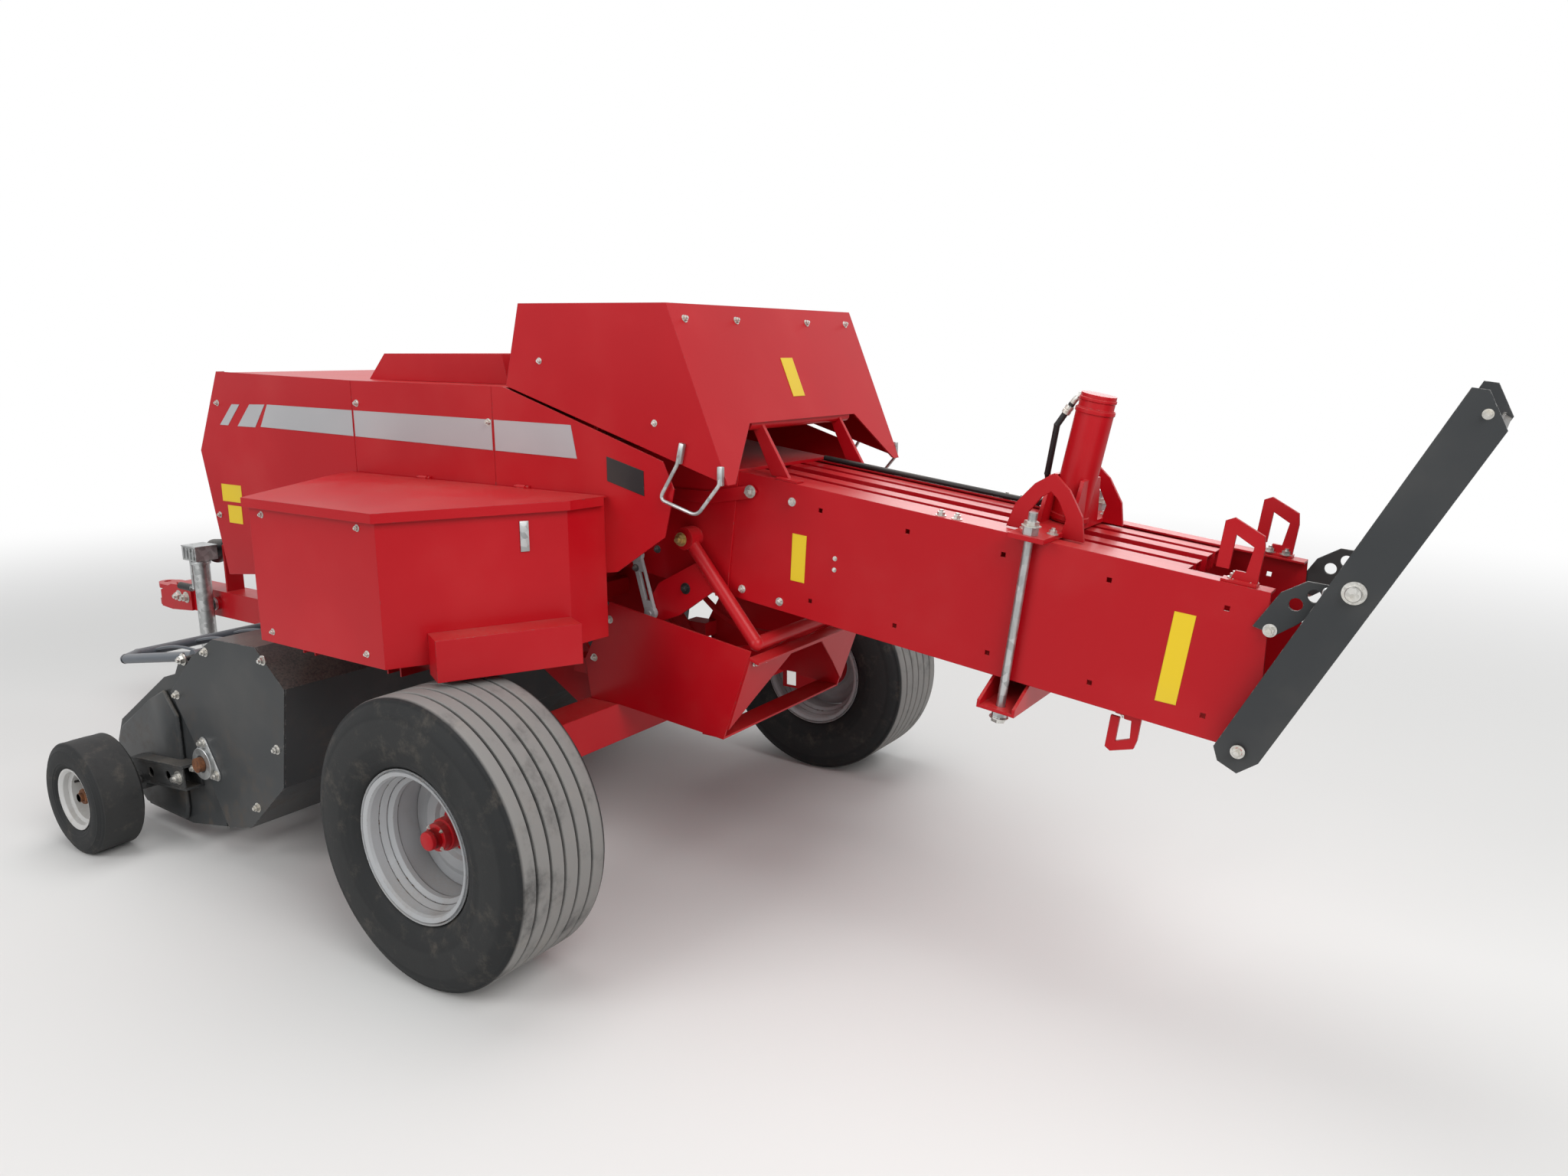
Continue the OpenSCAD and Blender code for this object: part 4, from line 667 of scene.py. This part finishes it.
section = tyre(0, GAUGE_R, GAUGE_HALF, GAUGE_SEAT, GAUGE_LIP)
for side_name, side in WHEELS:
    hub, body = at(GAUGE_X, side * GAUGE_Y, GAUGE_R), f"gauge_{side_name}"
    piece(f"gauge_tyre_{side_name}", body, rubber,
          lambda bm: lathe(bm, section, hub, (0, side, 0), 80, scuff=gauge_rub), 28,
          (f"gauge_wheel_{side_name}",))
    piece(f"gauge_rim_{side_name}", body, white,
          lambda bm: lathe(bm, GAUGE_RIM, hub, (0, side, 0), 64), 25)
    piece(f"gauge_hub_{side_name}", body, rust,
          lambda bm: lathe(bm, GAUGE_HUB, hub, (0, side, 0), 40, closed=False), 30)
    piece(f"gauge_valve_{side_name}", body, black, lambda bm: valve(bm, hub, side))
print("gauge wheels done")

# %% [markdown]
# ## Fasteners
# There are well over a hundred nuts and bolts, all alike apart from their size and the way they face.
# Geometry Nodes put one head, washer and thread end on every point of a small mesh. Each point stores the
# direction it faces and its size, and each bolt gets a random turn, from a fixed seed, as real ones have.

# %% A tree that fits bolts
SIZES_OF_BOLT = {"Head radius": 0.0095, "Head height": 0.0075, "Washer radius": 0.0135, "Thread": 0.006}
SEED, LIFT = 7, 0.0018  # LIFT is the height of the head's foot over the plate


def bolt_tree():
    """A tree that puts a washer, a head and a thread end on every point."""
    tree = bpy.data.node_groups.new("fit_bolts", "GeometryNodeTree")
    face = tree.interface
    face.new_socket("Places", in_out="INPUT", socket_type="NodeSocketGeometry")
    for label, value in SIZES_OF_BOLT.items():
        face.new_socket(label, in_out="INPUT", socket_type="NodeSocketFloat").default_value = value
    face.new_socket("Metal", in_out="INPUT", socket_type="NodeSocketMaterial")
    face.new_socket("Bolts", in_out="OUTPUT", socket_type="NodeSocketGeometry")
    given = node(tree, "NodeGroupInput").outputs
    head_r, head_h, washer_r, thread_h = (given[label] for label in SIZES_OF_BOLT)
    washer = node(tree, "GeometryNodeMeshCylinder", Vertices=20, Radius=washer_r, Depth=0.002)
    head = node(tree, "GeometryNodeMeshCylinder", Vertices=6, Radius=head_r, Depth=head_h)
    waist = maths(tree, "MULTIPLY", head_r, 0.52)
    thread = node(tree, "GeometryNodeMeshCylinder", Vertices=14, Radius=waist, Depth=thread_h)
    half = maths(tree, "MULTIPLY_ADD", head_h, 0.5, LIFT)
    tip = maths(tree, "MULTIPLY_ADD", thread_h, 0.4, maths(tree, "ADD", head_h, LIFT))
    parts = node(tree, "GeometryNodeJoinGeometry")
    for mesh, lift in ((washer, 0.0005), (head, half), (thread, tip)):
        move = node(tree, "ShaderNodeCombineXYZ", Z=lift)
        shifted = node(tree, "GeometryNodeTransform", Geometry=mesh.outputs["Mesh"],
                       Translation=move.outputs[0])
        tree.links.new(shifted.outputs[0], parts.inputs[0])
    facing = node(tree, "GeometryNodeInputNamedAttribute", {"data_type": "FLOAT_VECTOR"}, Name="facing")
    size = node(tree, "GeometryNodeInputNamedAttribute", {"data_type": "FLOAT"}, Name="size")
    upright = node(tree, "FunctionNodeAlignRotationToVector", {"axis": "Z"}, Vector=facing.outputs[0])
    placed = node(tree, "GeometryNodeInstanceOnPoints", Points=given["Places"], Instance=parts.outputs[0],
                  Rotation=upright.outputs[0], Scale=size.outputs[0])
    spin = node(tree, "FunctionNodeRandomValue", {"data_type": "FLOAT"}, Seed=SEED)
    spin.inputs[3].default_value = math.pi
    about = node(tree, "ShaderNodeCombineXYZ", Z=spin.outputs[1])
    turned = node(tree, "GeometryNodeRotateInstances", Instances=placed.outputs[0], Rotation=about.outputs[0])
    real = node(tree, "GeometryNodeRealizeInstances", Geometry=turned.outputs[0])
    dressed = node(tree, "GeometryNodeSetMaterial", Geometry=real.outputs[0], Material=given["Metal"])
    node(tree, "NodeGroupOutput", Bolts=dressed.outputs[0])
    return tree


BOLT_TREE = bolt_tree()
print("a bolt tree of", len(BOLT_TREE.nodes), "nodes")


# %% Fitting the bolts
def make_plain(holder, name, body):
    """Turns what a node tree made into a plain mesh that rides on a body."""
    graph = bpy.context.evaluated_depsgraph_get()
    mesh = bpy.data.meshes.new_from_object(holder.evaluated_get(graph))
    mesh.name = name
    bpy.data.objects.remove(holder)
    made = add(name, mesh)
    mesh.shade_smooth()
    mesh.set_sharp_from_angle(angle=math.radians(30))
    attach(made, body)
    return made


def bolts(name, body, rows, metal, slot_name="zinc", **sizes):
    """rows: (place, direction faced, size). sizes: other inputs of the tree by their names."""
    mesh = bpy.data.meshes.new(name + "_places")
    mesh.from_pydata([place for place, _, _ in rows], [], [])
    ways = [part for _, way, _ in rows for part in Vector(way).normalized()]
    mesh.attributes.new("facing", "FLOAT_VECTOR", "POINT").data.foreach_set("vector", ways)
    mesh.attributes.new("size", "FLOAT", "POINT").data.foreach_set("value", [size for _, _, size in rows])
    holder = add(name + "_places", mesh)
    fit = holder.modifiers.new("fit", "NODES")
    fit.node_group = BOLT_TREE
    sockets = {s.name: s.identifier for s in BOLT_TREE.interface.items_tree if s.in_out == "INPUT"}
    fit[sockets["Metal"]] = metal
    for label, value in sizes.items():
        fit[sockets[label.replace("_", " ")]] = value
    made = make_plain(holder, name, body)
    print(name, len(rows), "fasteners,", len(made.data.polygons), "faces")


def outward(y, places, size, sides=SIDES):
    """Fasteners that face out from the sides of the machine, at places (x, z) and y off its middle."""
    return [(at(x, side * y, z), (0, side, 0), size) for side in sides for x, z in places]


def circle(centre, side, radius, degrees, size):
    """Fasteners on a circle round a centre, facing out."""
    return [(centre + spoke(turned, radius), (0, side, 0), size) for turned in degrees]


print("bolts can be fitted")

# %% Wheel nuts
for side_name, side in WHEELS:
    body = f"wheel_{side_name}"
    nuts_at, cap_at = (at(0, side * (WHEEL_Y + proud), TYRE_R) for proud in (-0.008, 0.0745))
    bolts(f"wheel_nuts_{side_name}", body, circle(nuts_at, side, 0.066, range(0, 360, 60), 1.25), bolt_zinc)
    bolts(f"cap_screws_{side_name}", body, circle(cap_at, side, 0.034, range(45, 360, 90), 0.4), bolt_zinc)

# %% [markdown]
# ## Bolts on the body
# The places were measured on the photograph and then mirrored, since both sides are built alike. On the
# sloping chamber they are given along its floor and square to it, from its rear end.

# %% Bolts of the chamber and the body
SLOPE = 7.2  # Degrees
REAR_X, REAR_Z = -1.815, 0.755
UP = spoke(SLOPE + 90, 1)
SIDE_H, CHAMBER_Y, SHIELD_Y, HOUSING_Y = 0.363, 0.2335, 0.465, 0.965
SADDLE_S, TIE_Y = 0.590, 0.2555
AUGER_X, AUGER_Z, LOBES = 1.202, 0.324, (90, 205, 335)


def on_slope(s, y, n):
    """A place on the chamber: s along its floor from the rear end, n square to it."""
    return at(REAR_X, y, REAR_Z) + spoke(SLOPE, s) + UP * n


# Pairs of nuts on the top flange: handle feet, saddle feet and rail ends as (s, y, height over the side)
TOP_NUTS = ((0.094, 0.198, 0.0065), (0.132, 0.198, 0.0065), (0.555, 0.198, 0.0125), (0.625, 0.198, 0.0125),
            (0.800, 0.212, 0), (0.845, 0.212, 0))
SHIELD_BOLTS = ((0.345, 1.42), (0.345, 0.98), (0.972, 1.46), (0.972, 0.90), (1.80, 1.44), (1.86, 1.02))
SIDE_BOLTS = ((-0.586, 1.225), (-0.415, 0.962), (-0.544, 0.941))
SIDE_SCREWS = ((-0.724, 1.082), (-0.722, 1.051))
BOX_BOLTS = [(x, z) for x in (0.20, 0.62) for z in (0.86, 1.19)]
zinc_rows, dark_rows = [], []
for side in SIDES:
    zinc_rows += [(on_slope(s, side * y, SIDE_H + over), UP, 1.05) for s, y, over in TOP_NUTS]
    zinc_rows += [(on_slope(s, side * 0.196, -0.0065), -UP, 1.0) for s in (0.275, 0.305)]
    zinc_rows += outward(0.241, ((-1.821, 1.040),), 1.1, (side,))
    zinc_rows += outward(SHIELD_Y, SHIELD_BOLTS, 0.85, (side,))
    dark_rows += outward(SHIELD_Y, ((-0.30, 1.10), (-0.22, 1.04)), 0.8, (side,))
    # On the needle guard: two on its side, two on its slanted rear face
    zinc_rows += outward(0.318, ((0.02, 0.83), (0.09, 0.70)), 0.9, (side,))
    zinc_rows += [(at(-0.4963, side * y, 0.7686), (-0.943, 0, -0.334), 0.9) for y in (0.245, 0.285)]
    zinc_rows += outward(CHAMBER_Y, SIDE_BOLTS, 0.9, (side,))
    zinc_rows += outward(CHAMBER_Y, SIDE_SCREWS, 0.5, (side,))
    zinc_rows += circle(at(AUGER_X, side * (HOUSING_Y + 0.0048), AUGER_Z), side, 0.070, LOBES, 1.25)
    zinc_rows += outward(1.040, BOX_BOLTS, 0.7, (side,))
bolts("body_bolts", "chassis", zinc_rows, bolt_zinc)
bolts("shield_bolts", "chassis", dark_rows, black, "black")

# %% Bolts of the hood, the pickup housing, the clevis and the chute
REAR_FACE = Vector((-0.922, 0, 0.388))  # The way the hood's rear panel looks
HOUSING_BOLTS = ((0.816, 0.728), (1.335, 0.530), (0.787, 0.454), (0.925, 0.235), (1.133, 0.705))
hood_rows = [(at(-0.364, y, 1.710), REAR_FACE, 0.8) for y in (0.41, 0.181, -0.181, -0.41)]
hood_rows += outward(SHIELD_Y, ((0.12, 1.60), (-0.30, 1.44)), 0.7)
bolts("hood_bolts", "hood", hood_rows, bolt_zinc)
bolts("housing_bolts", "chassis", outward(HOUSING_Y, HOUSING_BOLTS, 1.15), bolt_zinc)
bolts("clevis_bolts", "chassis", outward(0.0672, ((2.945, 0.490), (3.010, 0.490)), 2.0), bolt_zinc)

CHUTE_TURN, CHUTE_X, CHUTE_Z, CHUTE_ARM_Y = 117, -1.787, 0.772, 0.2795
BOSS_S = 0.42238  # Place of the chain's boss along the arm


def on_chute(s, side, n=0.0):
    """A place on a chute arm's outer face: s along the arm, n across it."""
    return at(CHUTE_X, side * CHUTE_ARM_Y, CHUTE_Z) + spoke(CHUTE_TURN, s) + spoke(CHUTE_TURN + 90, n)


chute_rows = [(on_chute(0.833, side, 0.003), (0, side, 0), 0.75) for side in SIDES]
bolts("chute_bolts", "chute", chute_rows, bolt_zinc)
bolts("chute_pivots", "chassis", outward(CHUTE_ARM_Y + 0.009, ((CHUTE_X, CHUTE_Z),), 1.15), bolt_zinc)


def build_chain_bolts(bm):
    """A zinc bolt and a broad washer over each boss that a chain hooks on to."""
    profile = [(0.0, 0.0004), (0.024, 0.0004), (0.024, 0.0034), (0.0162, 0.0038), (0.0162, 0.0160),
               (0.0148, 0.0186), (0.0, 0.0188)]
    for side in SIDES:
        lathe(bm, profile, on_chute(BOSS_S, side), (0, side, 0), 36, closed=False)


piece("chain_bolts", "chute", bolt_zinc, build_chain_bolts)

# %% [markdown]
# ## Small parts of the left and right side
# What is too small for the solids is built here in the same measures: bearing flanges, a pressed swelling
# on the pickup's end plate, the hood's bails, latches, weld beads, and the ribs and grip of the jack.

# %% Bearing flanges, latches and link bars
def build_flanges(bm):
    """Three-cornered plates under the auger's bearing rings, and small latch plates on the twine boxes."""
    profile = [(0.029, 0.0), (0.0522, 0.0), (0.0528, 0.002), (0.0528, 0.0150), (0.0515, 0.0164),
               (0.029, 0.0164)]
    for side in SIDES:
        centre = at(AUGER_X, side * (HOUSING_Y + 0.0005), AUGER_Z)
        corners = [(lobe, lobe + turned) for lobe in LOBES for turned in (-50, -25, 0, 25, 50)]
        ring = [centre + spoke(lobe, 0.066) + spoke(edge, 0.022) for lobe, edge in corners]
        prism(bm, ring, Vector((0, side * 0.0042, 0)), 0.0008)
        lathe(bm, profile, centre, (0, side, 0), 56)
        along, out = Vector((-0.467, -side * 0.884, 0)), Vector((-0.884, side * 0.467, 0))
        foot, up = at(-0.040, side * 0.718, 1.105) + out * 0.0004, Vector((0, 0, 0.082))
        prism(bm, [foot, foot + along * 0.024, foot + along * 0.024 + up, foot + up], out * 0.0025, 0.0006)


piece("bearing_flanges", "chassis", galvanised, build_flanges)


def plates(*groups, thick, bevel=0.0, sides=SIDES):
    """A build of thin plates: each group has a distance from the middle and outlines (x, z)."""
    def build(bm):
        for side in sides:
            for y, outlines in groups:
                for outline in outlines:
                    prism(bm, [at(x, side * y, z) for x, z in outline], Vector((0, side * thick, 0)), bevel)
    return build


# Flat bars from the chamber's side to the plunger case
LINK_BAR = ((-0.170, 1.238), (-0.300, 1.236), (-0.458, 1.264), (-0.474, 1.245), (-0.456, 1.226),
            (-0.300, 1.200), (-0.180, 1.204))
piece("link_bars", "chassis", red, plates((0.2372, [LINK_BAR]), thick=0.005, bevel=0.001))
bolts("link_bar_bolts", "chassis", outward(0.2423, ((-0.452, 1.245),), 1.35), bolt_zinc)

# %% Swelling on the pickup's end plate, and the gauge arms
END_PLATE_Y = 0.9333
# A pressed panel round the reel's end, with broad soft edges
SWELLING = ((1.462, 0.520), (1.560, 0.468), (1.778, 0.334), (1.818, 0.262), (1.760, 0.160), (1.660, 0.078),
            (1.404, 0.070), (1.388, 0.110), (1.388, 0.440))
piece("pickup_swelling", "pickup", charcoal,
      plates((END_PLATE_Y, [SWELLING]), thick=0.017, bevel=0.015), 60)

TILT = 6  # Degrees
ARM_X, ARM_Z, ARM_MID, ARM_FACE_Y = 1.290, 0.215, 0.042, 0.9895
HOLE_R = 0.0165


def on_arm(u, w, y):
    """A place on the gauge arm: u along it from its rear end, w square to it."""
    return at(ARM_X, y, ARM_Z) + spoke(-TILT, u) + spoke(90 - TILT, w)


def build_arm_covers(bm):
    """The outer wall of each gauge arm, with its two round holes."""
    corners = ((0.004, 0.0085), (0.330, 0.0085), (0.330, 0.0755), (0.004, 0.0755))
    rim = [(HOLE_R * math.cos(a), HOLE_R * math.sin(a)) for a in (2 * math.pi * k / 28 for k in range(28))]
    for side in SIDES:
        y = side * ARM_FACE_Y
        holes = [[on_arm(middle + u, ARM_MID + w, y) for u, w in rim] for middle in (0.105, 0.215)]
        holed(bm, [on_arm(u, w, y) for u, w in corners], holes, Vector((0, side * 0.005, 0)))


piece("gauge_arm_covers", "pickup", charcoal, build_arm_covers)
arm_rows = []
for side in SIDES:
    arm_rows.append((on_arm(0.036, ARM_MID, side * (ARM_FACE_Y + 0.0052)), (0, side, 0), 1.7))
    arm_rows += outward(END_PLATE_Y, ((1.335, 0.642),), 1.5, (side,))
bolts("gauge_arm_bolts", "pickup", arm_rows, bolt_zinc)


# %% Bails of the hood
def build_bails(bm):
    """A silver rod bent to a loop on each side, with flattened ends on the hood's panel."""
    loop = ((-0.389, 0.4765, 1.352), (-0.385, 0.4775, 1.336), (-0.322, 0.478, 1.240), (-0.448, 0.478, 1.205),
            (-0.522, 0.4775, 1.290), (-0.524, 0.4765, 1.304))
    ends = (((-0.400, 1.392), (-0.386, 1.338)), ((-0.5235, 1.338), (-0.5225, 1.288)))
    for side in SIDES:
        bar(bm, rounded([at(x, side * y, z) for x, y, z in loop], 0.022), 0.0052)
        for end in ends:
            a, b = (at(x, side * (SHIELD_Y + 0.0005), z) for x, z in end)
            wide = (b - a).cross(Vector((0, 1, 0))).normalized() * 0.0085
            prism(bm, [a - wide, a + wide, b + wide, b - wide], Vector((0, side * 0.0125, 0)), 0.003)


piece("hood_bails", "hood", galvanised, build_bails)
print("bails bent")

# %% Weld beads and bolts of the needle yoke
YOKE_X, YOKE_Z, GUSSET_Y = -0.2515, 1.100, 0.270
ARM_TURN = -130.5
BEAD_FROM, BEAD_LENGTH, BEAD_STEPS = 0.088, 0.098, 59


def build_welds(bm):
    """Lumpy beads where the gusset plate meets the arm, on both of its faces."""
    along = spoke(ARM_TURN, 1)
    across = Vector((-along.z, 0, along.x))
    for face in (1, -1):
        start = at(-0.252, GUSSET_Y + face * 0.0068, YOKE_Z) + along * BEAD_FROM
        path = []
        for k in range(BEAD_STEPS + 1):
            lump = 0.0022 * math.sin(k * 0.9) + 0.0012 * math.sin(k * 2.3 + face)
            path.append(start + along * (BEAD_LENGTH * k / BEAD_STEPS) + across * (0.0195 + lump))
        bar(bm, path, 0.0036, 8)


piece("weld_beads", "yoke", red, build_welds, 60)
yoke_rows = [(at(-0.2416, GUSSET_Y + face * 0.0053, 0.950), (0, face, 0), 1.1) for face in (1, -1)]
bolts("yoke_bolt", "yoke", yoke_rows, black, "black", Washer_radius=0.0155)
bolts("yoke_pin_nuts", "chassis", outward(0.3042, ((YOKE_X, YOKE_Z),), 1.5), yellow_zinc)

# %% Jack head, crank grip and tie rods
JACK_X, JACK_Y, CRANK_Z = 2.700, 0.112, 0.560
GRIP_PITCH = 0.012


def build_jack_ribs(bm):
    """A cap, a rim and ribs on the galvanised head of the jack."""
    rim = [(0.0355, -0.006), (0.040, -0.006), (0.0415, 0.0), (0.040, 0.006), (0.0355, 0.006)]
    block(bm, (2.6415, 0.0595, 0.7672), (0.117, 0.105, 0.0045))
    for k in range(4):
        block(bm, (2.656 + 0.027 * k, 0.1622, 0.712), (0.007, 0.0035, 0.050), 0.001)
    lathe(bm, rim, at(JACK_X, JACK_Y, 0.690), (0, 0, 1), 48)


def build_grip(bm):
    """A ribbed grip on the crank."""
    rib = ((0.0168, 0.008), (0.0158, 0.011), (0.0158, 0.014), (0.0168, 0.017))
    profile = [(0.0, 0.0015), (0.0145, 0.0015), (0.0165, 0.004)]
    profile += [(r, h + GRIP_PITCH * k) for k in range(8) for r, h in rib]
    profile += [(0.0165, 0.104), (0.0145, 0.1065), (0.0, 0.1065)]
    lathe(bm, profile, at(2.7955, JACK_Y, CRANK_Z), (1, 0, 0), 28, closed=False)


piece("jack_ribs", "chassis", galvanised, build_jack_ribs)
piece("crank_grip", "chassis", black, build_grip)
rod_ends = ((0.3964, UP), (-0.0932, -UP))
rod_rows = [(on_slope(SADDLE_S, side * TIE_Y, n), way, 1.0) for side in SIDES for n, way in rod_ends]
bolts("tie_rod_nuts", "chassis", rod_rows, bolt_zinc,
      Head_radius=0.0185, Head_height=0.010, Washer_radius=0.024, Thread=0.001)

# %% [markdown]
# ## Cylinder fittings
# The density cylinder has a rolled cap ring, two gland rings and a bent fitting where its hose ends.

# %% Rings and elbow of the density cylinder
CYLINDER_AXIS = spoke(SLOPE + 94, 1)
# Inner and outer radius of each ring, its height and edge, and its place up the cylinder
RINGS = ((0.0470, 0.0505, 0.016, 0.002, 0.018), (0.0470, 0.0495, 0.012, 0.0015, 0.292),
         (0.0440, 0.0462, 0.010, 0.002, 0.322))


def build_rings(bm):
    """A cap ring and two gland rings."""
    foot = on_slope(SADDLE_S, 0, 0.3633)
    for inner, outer, tall, edge, place in RINGS:
        profile = [(inner, 0.0), (outer, edge), (outer, tall - edge), (inner, tall)]
        lathe(bm, profile, foot + CYLINDER_AXIS * place, CYLINDER_AXIS, 56)


def build_elbow(bm):
    """The crimped sleeve on the hose's end and the bent fitting into the cylinder."""
    path = [on_slope(s, 0, n) for s, n in ((0.6440, 0.643), (0.6205, 0.690), (SADDLE_S, 0.6935))]
    bar(bm, rounded(path, 0.016), 0.0078, 16)
    sleeve = [(0.0082, 0.0), (0.0112, 0.001), (0.0112, 0.010), (0.0104, 0.011), (0.0104, 0.013),
              (0.0112, 0.014), (0.0112, 0.023), (0.0082, 0.024)]
    lathe(bm, sleeve, path[0], path[1] - path[0], 28)
    collar = [(0.0078, 0.0), (0.0128, 0.0), (0.0128, 0.010), (0.0078, 0.010)]
    lathe(bm, collar, on_slope(0.6165, 0, 0.6905), path[2] - path[1], 6)


piece("cylinder_rings", "chassis", red, build_rings)
piece("hose_elbow", "chassis", bolt_zinc, build_elbow)
print("cylinder fittings done")

# %% [markdown]
# ## Stripes, reflectors and plates
# The silver band along the shields is a film that stops short of the seams. Each film is a very thin
# plate laid on the paint, so that it catches a fine edge of light as real film does.

# %% Films on the shields and the chamber
FILM, PLATE, GAP = 0.0008, 0.0012, 0.0002  # Thicknesses, and the gap to the paint
ON_CHAMBER = (((-1.618, 1.055), (-1.666, 1.050), (-1.636, 0.836), (-1.588, 0.840)),
              ((-0.588, 1.139), (-0.634, 1.135), (-0.626, 1.003), (-0.581, 1.007)))
ON_SHIELD = (((1.83, 1.14), (1.70, 1.14), (1.70, 1.075), (1.83, 1.075)),
             ((1.80, 1.062), (1.71, 1.062), (1.71, 0.995), (1.80, 0.995)))
DARK_PLATE = ((-0.125, 1.343), (-0.258, 1.310), (-0.258, 1.242), (-0.125, 1.275))
GUARD_PLATE = ((-0.60, 0.745), (-0.57, 0.745), (-0.57, 0.705), (-0.60, 0.705))
SLASHES = [((1.796, 1.360), (1.705, 1.438), (1.655, 1.438), (1.742, 1.360)),
           ((1.681, 1.359), (1.592, 1.440), (1.497, 1.442), (1.568, 1.359))]
# Ends of each length of the silver band, and its slant
BAND = ((1.000, 1.482, 0.052), (0.331, 0.990, 0.0), (0.007, 0.320, -0.019))


def band(x0, x1, lean):
    """Outline of one length of the silver band, which grows wider and higher to the front."""
    shares = [(x + 0.012) / 1.546 for x in (x0, x1)]
    (t0, b0), (t1, b1) = ((1.424 + t * 0.019, 1.330 + t * 0.033) for t in shares)
    return (x0, t0), (x1, t1), (x1 + max(lean, 0), b1), (x0 + min(lean, 0), b0)


def build_hood_film(bm):
    """A film on the hood's leaning rear face."""
    lean, y, z, wide, tall = Vector((0.194, 0, 0.461)).normalized(), -0.005, 1.553, 0.062, 0.118
    mid = at(-0.541 + (z - 1.289) * 0.194 / 0.461, y, z) + REAR_FACE * 0.0003
    a, b = Vector((0, wide / 2, 0)), lean * tall / 2
    prism(bm, [mid - a - b, mid + a - b, mid + a + b, mid - a + b], REAR_FACE * 0.0009)


stripes = SLASHES + [band(*length) for length in BAND]
yellow = (CHAMBER_Y + GAP, ON_CHAMBER), (SHIELD_Y + GAP, ON_SHIELD)
piece("silver_stripes", "chassis", stripe_silver, plates((SHIELD_Y + GAP, stripes), thick=FILM))
piece("yellow_films", "chassis", film_yellow, plates(*yellow, thick=FILM))
piece("black_plates", "chassis", black, plates((SHIELD_Y + GAP, [DARK_PLATE]), thick=PLATE))
piece("hood_films", "hood", film_yellow, build_hood_film)
piece("guard_plate", "chassis", plate_white,
      plates((CHAMBER_Y + GAP, [GUARD_PLATE]), thick=FILM, sides=(1,)))
print("films laid")

# %% [markdown]
# ## Reach the end

# %% The end
print("done")
